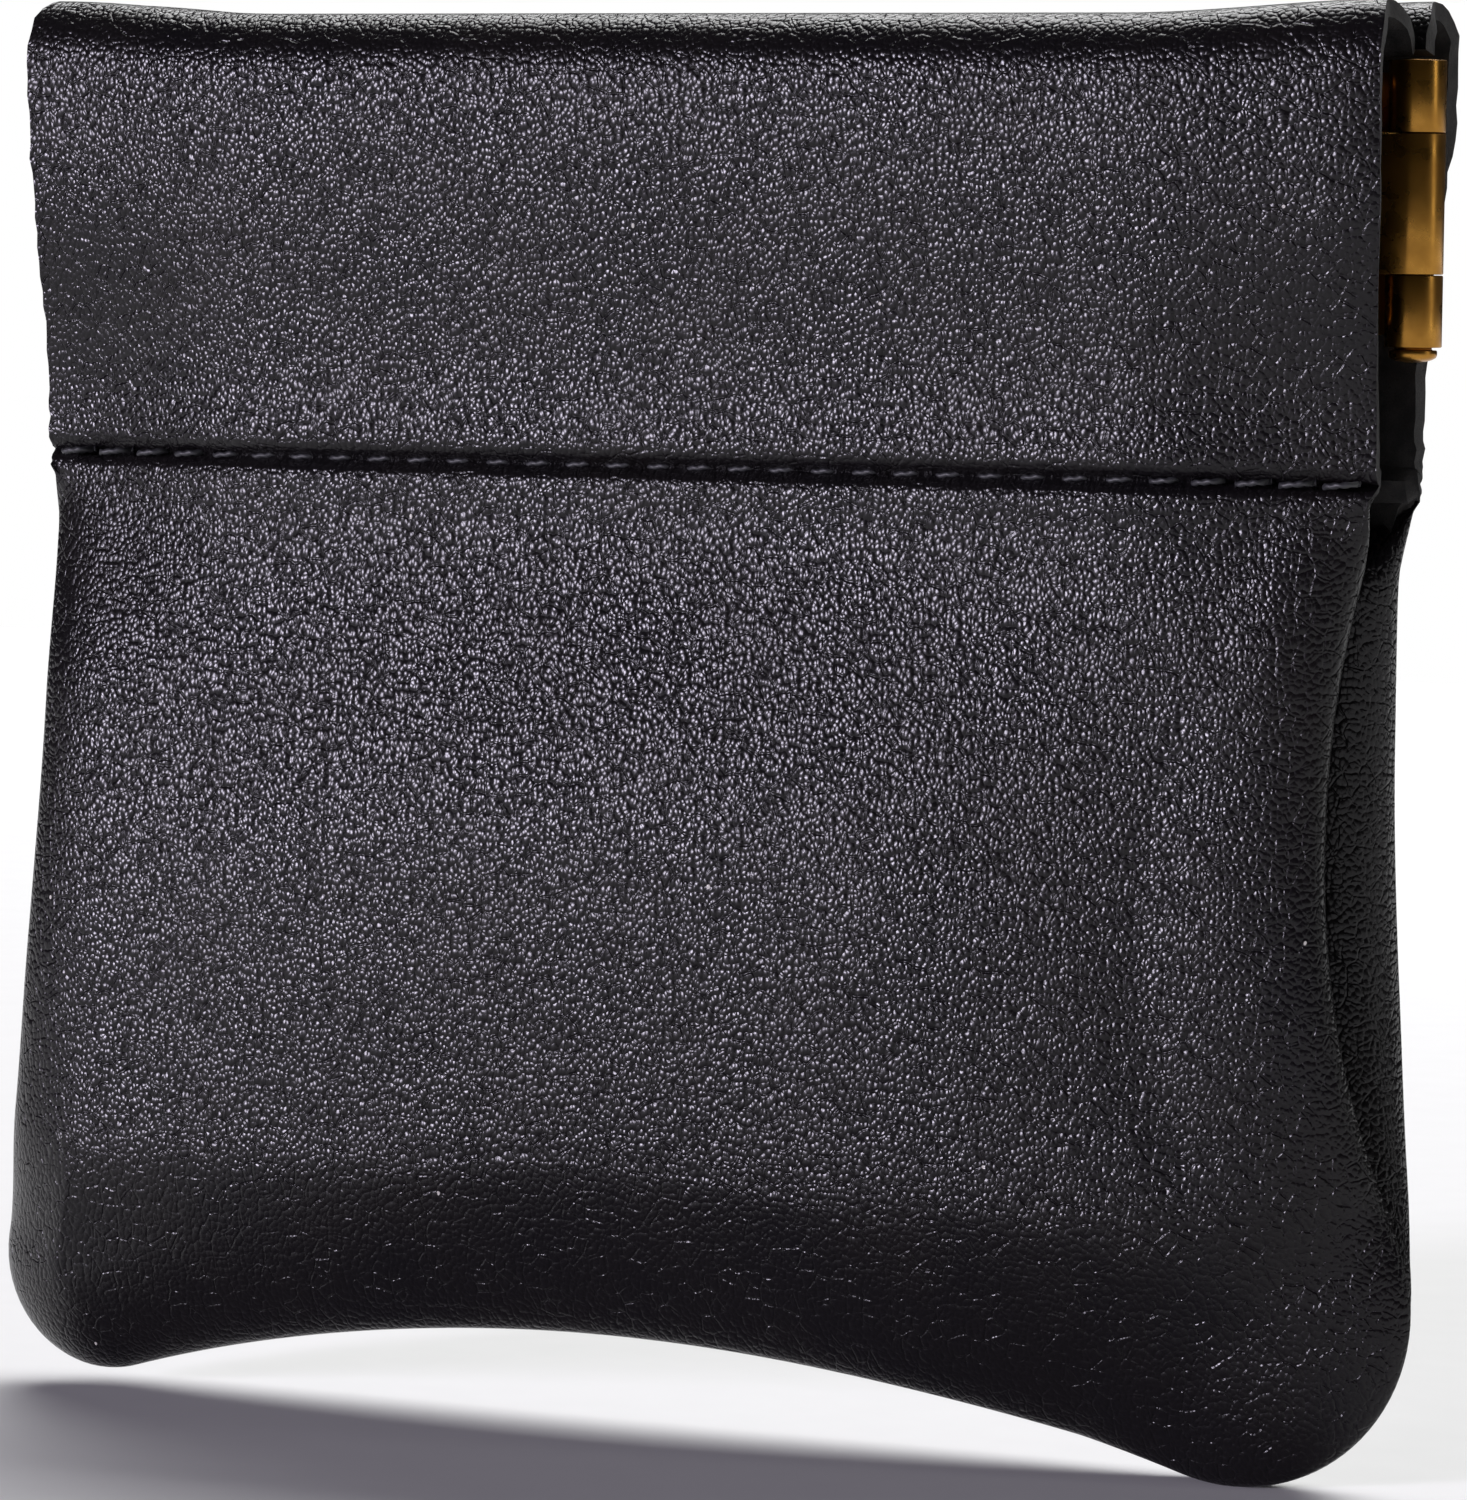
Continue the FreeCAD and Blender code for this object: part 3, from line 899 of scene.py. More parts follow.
@dataclass(frozen=True)
class LeatherPanel:
    """One sheet of leather: a rolled half pouch, and above it the folded channel for the frame."""

    side: Side
    outline: PouchOutline
    top_z: float
    depth: float = 5.0
    thickness: float = 1.0
    crease_angle: float = math.radians(50)
    # how the sheet rolls round to the seam
    left_roll_widths: Stops = (5.2, 6.5, 5.6)
    right_roll_widths: Stops = (5.2, 10.5, 8.5)
    bottom_roll_width: float = 10.5
    bottom_bevel_share: float = 0.5
    arch_hold_share: float = 0.8
    side_roll_depth: float = 2.4
    bottom_roll_depth: float = 4.2
    low_start_share: float = 1 / 2
    low_full_share: float = 1 / 6
    middle_least: float = 0.8
    valley_least: float = 1.2
    valley_most: float = 5.0
    seam_gap: float = 0.002
    seam_allowance: float = 3.0
    stitch_inset: float = 0.6
    skive_share: float = 0.3
    skive_group: str = "thickness"
    unroll_length: float = 6.0
    level_roll_share: float = 0.9
    # how the face swells
    side_puff: float = 1.9
    puff_start_share: float = 0.5
    face_puff: float = 0.5
    corner_droop: float = 1.9
    droop_start_z: float = 16.0
    droop_length: float = 11.0
    right_fall: float = 1.2
    fall_start_x: float = 10.0
    fall_length: float = 30.0
    # the stitched groove
    groove_depth: float = 0.55
    groove_width: float = 0.42
    lip_swell: float = 0.3
    lip_length: float = 1.3
    needle_rise: float = 0.08
    bobbin_inset: float = 0.2
    # the channel
    end_x: float = 42.8
    right_end_x: float = 42.8
    hem_y: float = 0.05
    hem_slope_z: float = 63.0
    hem_flat_z: float = 58.0
    hem_end_z: float = 54.0
    tail_y: float = 3.0
    channel_lean: float = 1.8
    # the ends of the channel close towards the seam below and gape round the hinge above
    gape_start_x: float = 27.0
    gape_low_share: float = 0.56
    gape_high_share: float = 0.87
    gape_height_share: float = 0.6
    gape_fade: float = 15.0
    gape_rise: float = 0.8
    rise_start_share: float = 2 / 3
    fold_sag: float = 0.9
    left_waist: float = 0.35
    right_flare: float = 0.7
    flare_start_share: float = 0.5
    flare_length_share: float = 0.25
    end_curl: float = 0.7
    end_curl_length: float = 4.0
    end_ragged: float = 0.07
    ragged_length: float = 0.9
    ragged_seed: int = 7
    end_corner: float = 2.4
    end_start_x: float = 30.0
    notch_x: float = 37.2
    notch_high_z: float = 81.1
    hinge_inset: float = 3.3
    # the sheet as it was cut
    flat_width: float = 107.0
    flat_length: float = 124.0
    flat_area: float = 11000.0
    # how finely the sheet is divided: the steps' first and widest lengths, and how they grow
    face_steps: tuple[float, float, float] = (0.16, 0.75, 1.13)
    channel_steps: tuple[float, float, float] = (0.14, 0.9, 1.16)
    columns: int = 150
    roll_rings: int = 12
    valley_rings: int = 6
    seam_rings: int = 2
    fold_rows: int = 12
    hem_rows: int = 16
    slope_rows: int = 7
    tail_rows: int = 4
    seam_samples: int = 60

    @property
    def rings(self) -> int:
        """How many rings the rim has, from the face's edge to the end of the seam allowance."""
        return self.roll_rings + self.valley_rings + self.seam_rings

    def groove(self, away: Array) -> Array:
        """Shapes the dent along the stitch row, with its swollen lips.

        Args:
            away: distances from the row.

        Returns:
            How far the face stands out.
        """
        dent = self.groove_depth * np.exp(-((away / self.groove_width) ** 2))
        swell = self.lip_swell * (away / self.lip_length) * np.exp(1 - away / self.lip_length)
        return swell - dent

    def end_share(self, across: Array) -> Array:
        """How near the ends of the channel some places along X are, from zero to one."""
        return smooth_share(np.abs(across), self.gape_start_x, self.end_x)

    def channel_share(self, height: float) -> float:
        """How far up the channel a height is, from zero at the stitch row to one at the top."""
        row_z = self.outline.row_z
        return min(max((height - row_z) / (self.top_z - row_z), 0.0), 1.0)

    def gape(self, across: Array, away: Array | float) -> Array:
        """How far out the sheet stands near the ends of the stitch row.

        Args:
            across: distances from the middle along X.
            away: how far above the row, or below it where negative.

        Returns:
            Shares of the depth in the middle.
        """
        opened = smooth_share(away, end=(self.top_z - self.outline.row_z) * self.gape_height_share)
        closed = smooth_share(np.minimum(away, 0.0), start=-self.gape_fade, end=0.0)
        above = self.gape_low_share + (self.gape_high_share - self.gape_low_share) * opened
        return 1 + self.end_share(across) * (above - 1) * closed

    def puff(self, u: Array, v: Array) -> Array:
        """How far the pouch swells, level all along the rim so that the rolls lead on smoothly.

        Args:
            u: places across the face, from -1 to 1.
            v: places down the face, from 0 at the row to 1 at the bottom.

        Returns:
            The swell over the depth at the row.
        """
        belly = (1 - u**2) ** 2 * np.sin(math.pi * v) ** 2
        return self.side_puff * smooth_share(v, end=self.puff_start_share) + self.face_puff * belly

    def fall(self, across: Array, height: Array, v: Array) -> Array:
        """How far the face falls away towards its right side and its bottom corners.

        Args:
            across: distances from the middle along X.
            height: heights along Z.
            v: places down the face, from 0 at the row to 1 at the bottom.

        Returns:
            The depth that is lost.
        """
        right = np.clip((across - self.fall_start_x) / self.fall_length, 0.0, None) ** 2
        right = right * smooth_share(v, end=self.puff_start_share)
        droop = smooth_share(self.droop_start_z - height, end=self.droop_length)
        return self.right_fall * right + self.corner_droop * droop

    @staticmethod
    def eased(places: Array, stops: Array, values: Stops) -> Array:
        """Eases from value to value between three stops.

        Args:
            places: where values are wanted.
            stops: where the three values hold.
            values: the three values.

        Returns:
            What holds at each place.
        """
        first = smooth_share(places, stops[0], stops[1])
        second = smooth_share(places, stops[1], stops[2])
        return values[0] + (values[1] - values[0]) * first + (values[2] - values[1]) * second

    def face_grid(self) -> tuple[Array, Array, Array, Array, Array]:
        """Lays a grid over the pouch's flat face.

        Returns:
            The grid's points, row by row from the stitch row down, then the path round the face's rim from
            the left end of the row to the right one: outline points, outward directions, how far each point
            lies below the row, which is endless along the bottom, and how wide the roll is there.
        """
        across = np.linspace(-1, 1, self.columns + 1)
        middle, total = self.outline.lengths(-1)
        down = growing_steps(total - middle, *self.face_steps)
        level = 1 - smooth_share(down, end=self.unroll_length)[:, None]
        side, side_out, bottom, bottom_out = {}, {}, [], []
        for end in (-1, 1):
            middle, total = self.outline.lengths(end)
            side[end], out = self.outline.sample(total - down * (total - middle) / down[-1], end)
            out = out * (1 - level) + np.array([float(end), 0.0]) * level
            side_out[end] = out / np.linalg.norm(out, axis=1)[:, None]
            half = across[across < 0] if end < 0 else across[across >= 0]
            found = self.outline.sample(np.abs(half) * middle, end)
            bottom.append(found[0])
            bottom_out.append(found[1])
        bottom, bottom_out = np.concatenate(bottom), np.concatenate(bottom_out)
        rim = round_rim(side[-1], bottom, side[1])
        out = round_rim(side_out[-1], bottom_out, side_out[1])
        below = round_rim(down, np.full(len(across), np.inf), down)

        stops = np.array([0.0, 0.5, 1.0]) * down[-1]
        left_width = self.eased(down, stops, self.left_roll_widths)
        right_width = self.eased(down, stops, self.right_roll_widths)
        widths = (self.left_roll_widths[-1], self.bottom_roll_width, self.right_roll_widths[-1])
        bottom_width = self.eased(across, np.array([-1.0, 0.0, 1.0]), widths)
        width = round_rim(left_width, bottom_width, right_width)
        left_in = side[-1] - side_out[-1] * left_width[:, None]
        right_in = side[1] - side_out[1] * right_width[:, None]
        bottom_in = bottom - bottom_out * bottom_width[:, None]
        u = ((across + 1) / 2)[None, :, None]
        v = (down / down[-1])[:, None, None]
        chord = bottom_in[0] * (1 - u) + bottom_in[-1] * u
        arched = (bottom_in[None] - chord) * smooth_share(v, end=self.arch_hold_share)
        flat = left_in[:, None] * (1 - u) + right_in[:, None] * u + arched

        x, z, v = flat[:, :, 0], flat[:, :, 1], v[:, :, 0]
        stand = self.depth * self.gape(x, -down[:, None]) + self.puff(across[None, :], v)
        stand = stand - self.fall(x, z, v) + self.groove(down)[:, None]
        return np.stack([x, -stand, z], axis=-1), rim, out, below, width

    def valley(self, rim: Array) -> Array:
        """Says how far in from the outline the seam lies.

        Args:
            rim: the outline's points.

        Returns:
            The distance at each of them.
        """
        height = rim[:, 1] / self.outline.row_z
        waist = np.clip(4 * height * (1 - height), 0.0, 1.0)
        return self.valley_least + (self.valley_most - self.valley_least) * waist

    def seam_course(self) -> SeamCourse:
        """Finds the line of the hidden seam.

        Returns:
            Its course on the allowance, just inside the bottom of the valley.
        """
        _, rim, out, below, _ = self.face_grid()
        rolled = below > self.unroll_length
        inset = (self.valley(rim) + self.stitch_inset)[:, None]
        return SeamCourse((rim - out * inset)[rolled], out[rolled])

    def rim_rings(self, edge: Array, rim: Array, out: Array, below: Array, width: Array) -> Array:
        """Rolls the rim of the face round to the seam.

        Args:
            edge: the face's own rim, from the left end of the row to the right one.
            rim: the outline's points beside it.
            out: the directions that face out of the outline.
            below: how far each point lies below the stitch row.
            width: how wide the roll is at each point.

        Returns:
            The points of each ring, from the face outwards.
        """
        valley = self.valley(rim)
        low = smooth_share(rim[:, 1] / self.outline.row_z, self.low_start_share, self.low_full_share)
        roll_depth = self.side_roll_depth + (self.bottom_roll_depth - self.side_roll_depth) * low
        middle_y = np.maximum(-edge[:, 1] - roll_depth, self.middle_least)
        roll_depth = -edge[:, 1] - middle_y
        bevel = self.bottom_bevel_share * low
        insets, depths = [], []
        for turn in steps(0, math.pi / 2, self.roll_rings):
            insets.append(width * (1 - math.sin(turn)))
            drop = (1 - bevel) * (1 - math.cos(turn)) + bevel * math.sin(turn)
            depths.append(middle_y + roll_depth * (1 - drop))
        for turn in steps(0, math.pi / 2, self.valley_rings):
            insets.append(valley * (1 - math.cos(turn)))
            depths.append(self.seam_gap + middle_y * (1 - math.sin(turn)))
        for share in steps(0, 1, self.seam_rings):
            insets.append(valley + self.seam_allowance * share)
            depths.append(np.full(len(rim), self.seam_gap))

        # beside the stitch row the sheet isn't rolled yet, and runs on level to its ends
        rolled_share = smooth_share(below, end=self.unroll_length)[:, None]
        level_reach = np.where(edge[:, 0] < 0, -self.end_x, self.right_end_x) - edge[:, 0]
        past_roll = steps(self.level_roll_share, 1, self.valley_rings + self.seam_rings)
        level_shares = np.concatenate([steps(0, self.level_roll_share, self.roll_rings), past_roll])
        rings = []
        for inset, depth, share in zip(insets, depths, level_shares):
            place = rim - out * inset[:, None]
            rolled = np.stack([place[:, 0], -depth, place[:, 1]], axis=-1)
            level = edge.copy()
            level[:, 0] += level_reach * share
            drawn_in = self.gape(level[:, 0], -below) - self.gape(edge[:, 0], -below)
            level[:, 1] -= self.depth * drawn_in
            rings.append(level * (1 - rolled_share) + rolled * rolled_share)
        return np.array(rings)

    def channel_profile(self) -> Array:
        """Draws the folded channel as it looks from the side.

        Returns:
            Rows of Y and Z, from just above the stitch row to the hem's end.
        """
        row_z = self.outline.row_z
        top_depth = self.depth + self.channel_lean
        radius = (top_depth - self.hem_y) / 2
        spring_z = self.top_z - self.fold_sag - radius
        rise = growing_steps(spring_z - row_z, *self.channel_steps)[1:]
        lean = self.channel_lean * smooth_share(rise, end=rise[-1])
        turns = steps(0, math.pi, self.fold_rows)
        slope = steps(0, 1, self.slope_rows)
        y = [
            -(self.depth + lean + self.groove(rise)),
            radius - top_depth - radius * np.cos(turns),
            np.full(self.hem_rows, -self.hem_y),
            -self.hem_y - smooth_share(slope) * (self.tail_y - self.hem_y),
            np.full(self.tail_rows, -self.tail_y),
        ]
        z = [
            row_z + rise,
            spring_z + radius * np.sin(turns),
            steps(spring_z, self.hem_slope_z, self.hem_rows),
            self.hem_slope_z + (self.hem_flat_z - self.hem_slope_z) * slope,
            steps(self.hem_flat_z, self.hem_end_z, self.tail_rows),
        ]
        return np.stack([np.concatenate(y), np.concatenate(z)], axis=-1)

    def channel_rows(self, row: Array) -> Array:
        """Raises the channel over the whole stitch row.

        Args:
            row: the row's points from the left end of the channel to the right one.

        Returns:
            The points of each row of the channel.
        """
        across, row_z, hem_start = row[:, 0], self.outline.row_z, self.hem_start
        curled = np.clip((across - self.end_x) / self.end_curl_length + 1, 0.0, 1.0) ** 2
        torn = np.clip((np.abs(across) - self.end_x) / self.ragged_length + 1, 0.0, 1.0)
        ragged = np.random.default_rng(self.ragged_seed)
        rows = []
        for number, (y, z) in enumerate(self.channel_profile()):
            gape, height = self.gape(across, z - row_z), self.channel_share(z)
            if number < hem_start:
                outer_share = (self.depth * gape - self.hem_y) / (self.depth - self.hem_y)
                curl = self.end_curl * math.sqrt(math.sin(math.pi * height)) * curled
                depth = self.hem_y + (-y - self.hem_y) * outer_share - curl
            else:
                drawn_in = np.maximum(self.depth * (1 - gape), 0.0)
                depth = np.maximum(-y - drawn_in, self.hem_y)
            high = smooth_share(height, self.rise_start_share)
            lifted = z + self.gape_rise * self.end_share(across) * high
            reach = self.end_reach(across, z) + torn * ragged.normal(0.0, self.end_ragged)
            rows.append(np.stack([across + reach, -depth, lifted], axis=-1))
        return np.array(rows)

    def end_reach(self, across: Array, height: float) -> Array:
        """How much further out the channel's leather reaches near its two ends.

        Args:
            across: distances from the middle along X.
            height: the row's height along Z.

        Returns:
            The shifts along X.
        """
        share = self.channel_share(height)
        waist = self.left_waist * math.sin(math.pi * share) ** 2
        flare = self.right_flare * smooth_share(share - self.flare_start_share, end=self.flare_length_share)
        high = min(max(height - self.top_z + self.end_corner, 0.0), self.end_corner)
        rounding = self.end_corner - math.sqrt(self.end_corner**2 - high**2)
        near_end = smooth_share(np.abs(across), self.end_start_x, self.end_x)
        return np.where(across < 0, waist + rounding, flare - rounding) * near_end

    @property
    def hem_start(self) -> int:
        """The number of the channel's row where the fold ends and the hem begins."""
        return len(self.channel_profile()) - self.hem_rows - self.slope_rows - self.tail_rows

    def notched(self, channel: Array) -> Array:
        """Says which faces between the channel's rows stay, where the hem is cut away round the hinges.

        Args:
            channel: the rows' points.

        Returns:
            One answer for each face, from the stitch row up.
        """
        inner = np.arange(len(channel))[:, None] >= self.hem_start - self.fold_rows // 2
        cut = (np.abs(channel[:, :-1, 0]) > self.notch_x) & (channel[:, :-1, 2] < self.notch_high_z)
        return ~(inner & cut)

    def skived(self, face: Array, rings: Array, channel: Array) -> Array:
        """Gives each point its share of the leather's thickness, thinned towards the seam.

        Args:
            face: the face's grid.
            rings: the rim's rings.
            channel: the channel's rows.

        Returns:
            The shares, for the face, the rings and the channel in turn.
        """
        past_roll = np.clip((np.arange(1, self.rings + 1) - self.roll_rings) / self.valley_rings, 0.0, 1.0)
        ring_shares = np.repeat(1 - (1 - self.skive_share) * past_roll, rings.shape[1])
        return np.concatenate([np.ones(face[..., 0].size), ring_shares, np.ones(channel[..., 0].size)])

    @staticmethod
    def developed(stretches: tuple[Array, ...], out: Array, edge: Array, row: Array) -> Array:
        """Lays the sheet out flat, so that the grain isn't stretched where the leather rolls and folds.

        Args:
            stretches: the points of the face, the rings and the channel.
            out: the directions that face out of the outline.
            edge: the face's own rim.
            row: the stitch row, with the rings' ends.

        Returns:
            For the face, the rings and the channel in turn, each point's place on the flat sheet.
        """
        face, rings, channel = stretches
        away = run_lengths(np.concatenate([edge[None], rings]))
        up = run_lengths(np.concatenate([row[None], channel]))
        flat_rings = edge[None][:, :, [0, 2]] + out[None] * away[:, :, None]
        flat_channel = np.stack([np.broadcast_to(row[:, 0], up.shape), row[:, 2] + up], axis=-1)
        flats = (face[:, :, [0, 2]], flat_rings, flat_channel)
        places = np.concatenate([flat.reshape(-1, 2) for flat in flats])
        return np.concatenate([places, np.zeros((len(places), 1))], axis=1)

    def build(self) -> Piece:
        """Builds the bare sheet.

        Returns:
            The piece, which has no thickness yet.
        """
        face, rim, out, below, width = self.face_grid()
        edge = round_rim(face[:, 0], face[-1], face[:, -1])
        rings = self.rim_rings(edge, rim, out, below, width)
        row = np.concatenate([rings[::-1, 0], face[0], rings[:, -1]])
        channel = self.channel_rows(row)
        stretches = (face, rings, channel)
        points = np.concatenate([stretch.reshape(-1, 3) for stretch in stretches])

        # the faces between neighbouring points, with the rings joined to the face and the channel to both
        grid, ring_ids, channel_ids = numbered(*stretches)
        ring_ids = np.concatenate([round_rim(grid[:, 0], grid[-1], grid[:, -1])[None], ring_ids])
        row_ids = np.concatenate([ring_ids[:0:-1, 0], grid[0], ring_ids[1:, -1]])
        channel_ids = np.concatenate([row_ids[None], channel_ids])
        upwards = grid_quads(channel_ids)[..., [0, 3, 2, 1]]
        quads = (grid_quads(grid), grid_quads(ring_ids), upwards[self.notched(channel)])
        faces = np.concatenate([quad.reshape(-1, 4) for quad in quads])
        if self.side is Side.BACK:
            points = points * np.array([1.0, -1.0, 1.0])
            faces = faces[:, ::-1]
        piece = mesh_piece(f"{self.side.label}_leather", points, faces.tolist())

        places = self.developed(stretches, out, edge, row)
        sheet = piece.data.attributes.new(SHEET_PLACE, "FLOAT_VECTOR", "POINT")
        sheet.data.foreach_set("vector", places.astype(np.float32).ravel())
        group = piece.vertex_groups.new(name=self.skive_group)
        for number, share in enumerate(self.skived(*stretches).tolist()):
            group.add([number], share, "REPLACE")
        LOG.info("%s: %d faces in the sheet", piece.name, len(faces))
        return piece

    def dress(self, piece: Piece, leather: Material, felt: Material) -> None:
        """Gives the sheet its thickness, its grain outside and its felt inside.

        Args:
            piece: the bare sheet.
            leather: the grain side's finish.
            felt: the finish of the back and the cut edges.
        """
        piece.data.materials.append(leather)
        piece.data.materials.append(felt)
        apply_modifier(
            piece,
            "SOLIDIFY",
            thickness=self.thickness * MM,
            offset=-1.0,
            material_offset=1,
            material_offset_rim=1,
            vertex_group=self.skive_group,
        )
        make_active(piece)
        bpy.ops.object.shade_smooth_by_angle(angle=self.crease_angle)

    def still_half_width(self, heights: Array) -> Array:
        """Says how far from the middle the seam holds the leather still.

        Args:
            heights: places along Z.

        Returns:
            The half width at each of them.
        """
        middle, total = self.outline.lengths(1)
        seam, out = self.outline.sample(np.linspace(total, middle, self.seam_samples), 1)
        seam = seam - out * (self.valley_least + self.valley_most) / 2
        inside = np.interp(heights, seam[::-1, 1], seam[::-1, 0])
        return np.where(heights > self.outline.row_z, self.end_x - self.hinge_inset, inside)


# The threads


@dataclass(frozen=True)
class StitchRow:
    """A lockstitch row of twisted thread, whose stitches dive into the leather at both ends."""

    name: str
    side: Side
    row_z: float
    centre_y: float
    inward: int
    course: SeamCourse | None = None
    span: float = 85.6
    pitch: float = 2.6
    length: float = 2.05
    radius: float = 0.2
    dive: float = 0.7
    dive_power: int = 4
    slant: float = 0.1
    turns: float = 1.6
    phase_step: float = 2.4
    plies: int = 2
    lobe_share: float = 0.2
    rings: int = 13
    sides: int = 10

    def stitches(self, count: int) -> tuple[Array, list[list[int]]]:
        """Models the stitches of a straight row.

        Args:
            count: how many there are.

        Returns:
            Their points and their faces.
        """
        number = np.arange(count)[:, None, None]
        along = np.linspace(-1, 1, self.rings)[:, None]
        around = np.linspace(0, 2 * math.pi, self.sides, endpoint=False)
        twist = number * self.phase_step + self.turns * math.pi * along
        lobes = self.lobe_share * np.cos(self.plies * (around - twist))
        reach = self.radius * (1 - self.lobe_share + lobes)
        sink = self.dive * np.abs(along) ** self.dive_power
        x = (number - (count - 1) / 2) * self.pitch + along * self.length / 2
        y = self.side.value * self.centre_y + self.inward * sink + reach * np.cos(around)
        z = self.row_z + self.slant * along + reach * np.sin(around)
        points = np.stack(np.broadcast_arrays(x, y, z), axis=-1).reshape(-1, 3)

        # each stitch is a tube from ring to ring, closed at both ends
        ids = np.arange(self.rings * self.sides).reshape(self.rings, self.sides)
        walls = grid_quads(np.concatenate([ids, ids[:, :1]], axis=1))[..., [0, 3, 2, 1]]
        tube = [*walls.reshape(-1, 4).tolist(), ids[0, ::-1].tolist(), ids[-1].tolist()]
        firsts = range(0, len(points), ids.size)
        return points, [[first + point for point in face] for first in firsts for face in tube]

    def build(self) -> Piece:
        """Builds the whole row.

        Returns:
            The piece.
        """
        count = int((self.span - self.length) / self.pitch)
        points, faces = self.stitches(count)
        if self.course:
            points = self.course.lay(points)
        piece = mesh_piece(self.name, points, faces)
        make_active(piece)
        bpy.ops.object.mode_set(mode="EDIT")
        bpy.ops.mesh.select_all(action="SELECT")
        bpy.ops.mesh.normals_make_consistent(inside=False)
        bpy.ops.object.mode_set(mode="OBJECT")
        bpy.ops.object.shade_smooth()
        LOG.info("%s: %d stitches", piece.name, count)
        return piece


# The sprung frame


@dataclass(frozen=True)
class SpringStrip:
    """A flat steel spring across the purse, whose tabs curl round the pins at both ends."""

    side: Side
    pin_x: float
    middle_z: float
    shoulder_x: float = 40.8
    width: float = 14.6
    thickness: float = 0.5
    middle_tab_half: float = 3.9
    tab_gap: float = 0.05
    outer_tab: float = 4.0
    curl_radius: float = 1.35
    curl_turn: float = math.radians(285)
    curl_steps: int = 26
    bend_cuts: int = 47
    corner: float = 1.6
    corner_steps: int = 5
    edge_round: float = 0.07
    slack: float = 0.01

    @property
    def tabs(self) -> tuple[Range, ...]:
        """Lists its tabs: one on the front strip, and two round that one on the back strip.

        Returns:
            Each tab's lower and upper edge, as heights from the strip's middle.
        """
        if self.side is Side.FRONT:
            return ((-self.middle_tab_half, self.middle_tab_half),)
        inner = self.middle_tab_half + self.tab_gap
        outer = inner + self.outer_tab
        return ((inner, outer), (-outer, -inner))

    def divide(self) -> None:
        """Cuts the active flat strip across, so that it can bend, and along the edges of its tabs."""
        bpy.ops.object.mode_set(mode="EDIT")
        bends = np.linspace(-self.shoulder_x, self.shoulder_x, self.bend_cuts)[1:-1]
        cuts = [((x, 0, 0), (1, 0, 0)) for x in bends]
        cuts += [((0, 0, self.middle_z + z), (0, 0, 1)) for tab in self.tabs for z in tab]
        for place, facing in cuts:
            bpy.ops.mesh.select_all(action="SELECT")
            bpy.ops.mesh.bisect(plane_co=[c * MM for c in place], plane_no=facing)

    def curl_tab(self, piece: Piece, low: float, high: float, end: int) -> None:
        """Draws a tab out of one end of the strip and curls it round the pin.

        Args:
            piece: the active object.
            low: the tab's lower edge, from the middle of the strip.
            high: its upper edge.
            end: 1 for the right end and -1 for the left one.
        """
        half = self.width / 2
        bottom, top = max(low, -half) - self.slack, min(high, half) + self.slack

        def within(place: Vector) -> bool:
            """Whether a place is as high as the tab."""
            return bottom < place.z - self.middle_z < top

        def at_root(place: Vector) -> bool:
            """Whether a place lies on the strip's end, within the tab."""
            return within(place) and abs(place.x - end * self.shoulder_x) < self.slack

        def on_strip_edge(place: Vector) -> bool:
            """Whether a place lies on the tab's upper or lower edge, where that edge is the strip's own."""
            past_shoulder = end * place.x > self.shoulder_x + self.slack
            return past_shoulder and within(place) and abs(abs(place.z - self.middle_z) - half) < self.slack

        select_points(piece, at_root)
        extrude((end * (self.pin_x - self.shoulder_x), 0, 0))
        bpy.ops.mesh.spin(
            steps=self.curl_steps,
            angle=self.curl_turn,
            center=(end * self.pin_x * MM, 0, self.middle_z * MM),
            axis=(0, 0, self.side.value * end),
        )
        select_points(piece, on_strip_edge, "VERT")
        beyond = max(high - half, 0.0) + min(low + half, 0.0)
        bpy.ops.transform.translate(value=(0, 0, beyond * MM))

    def round_shoulders(self, piece: Piece) -> None:
        """Rounds the corners of the strip that no tab takes up.

        Args:
            piece: the active object.
        """
        half = self.width / 2
        if any(high > half for _, high in self.tabs):
            return

        def at_corner(place: Vector) -> bool:
            """Whether a place is a corner of the flat strip."""
            across = abs(abs(place.x) - self.shoulder_x) < self.slack
            return across and abs(abs(place.z - self.middle_z) - half) < self.slack

        select_points(piece, at_corner, "VERT")
        bpy.ops.mesh.bevel(offset=self.corner * MM, segments=self.corner_steps, affect="VERTICES")

    def build(self) -> Piece:
        """Models the strip.

        Returns:
            The piece.
        """
        clear_selection()
        middle = (0, self.side.value * self.curl_radius * MM, self.middle_z * MM)
        bpy.ops.mesh.primitive_plane_add(size=1, location=middle, rotation=(math.pi / 2, 0, 0))
        piece = bpy.context.active_object
        piece.name = f"{self.side.label}_spring_strip"
        piece.scale = (2 * self.shoulder_x * MM, self.width * MM, 1)
        bpy.ops.object.transform_apply(location=True, rotation=True, scale=True)
        self.divide()
        for low, high in self.tabs:
            for end in (-1, 1):
                self.curl_tab(piece, low, high, end)
        self.round_shoulders(piece)
        bpy.ops.mesh.select_all(action="SELECT")
        bpy.ops.mesh.remove_doubles(threshold=self.slack * MM)
        bpy.ops.mesh.normals_make_consistent(inside=False)
        bpy.ops.object.mode_set(mode="OBJECT")
        apply_modifier(piece, "SOLIDIFY", thickness=self.thickness * MM, offset=0.0)
        round_edges(piece, self.edge_round, METAL_CREASE_ANGLE)
        LOG.info("%s: %d faces", piece.name, len(piece.data.polygons))
        return piece

    def dress(self, piece: Piece, plating: Material) -> None:
        """Plates the strip, bakes its place and hides the strip parts that it stands for.

        Args:
            piece: the finished strip.
            plating: its finish.
        """
        piece.data.materials.append(plating)
        label = self.side.label
        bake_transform(piece)
        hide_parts(f"{label}_strip_right", f"{label}_strip_left")


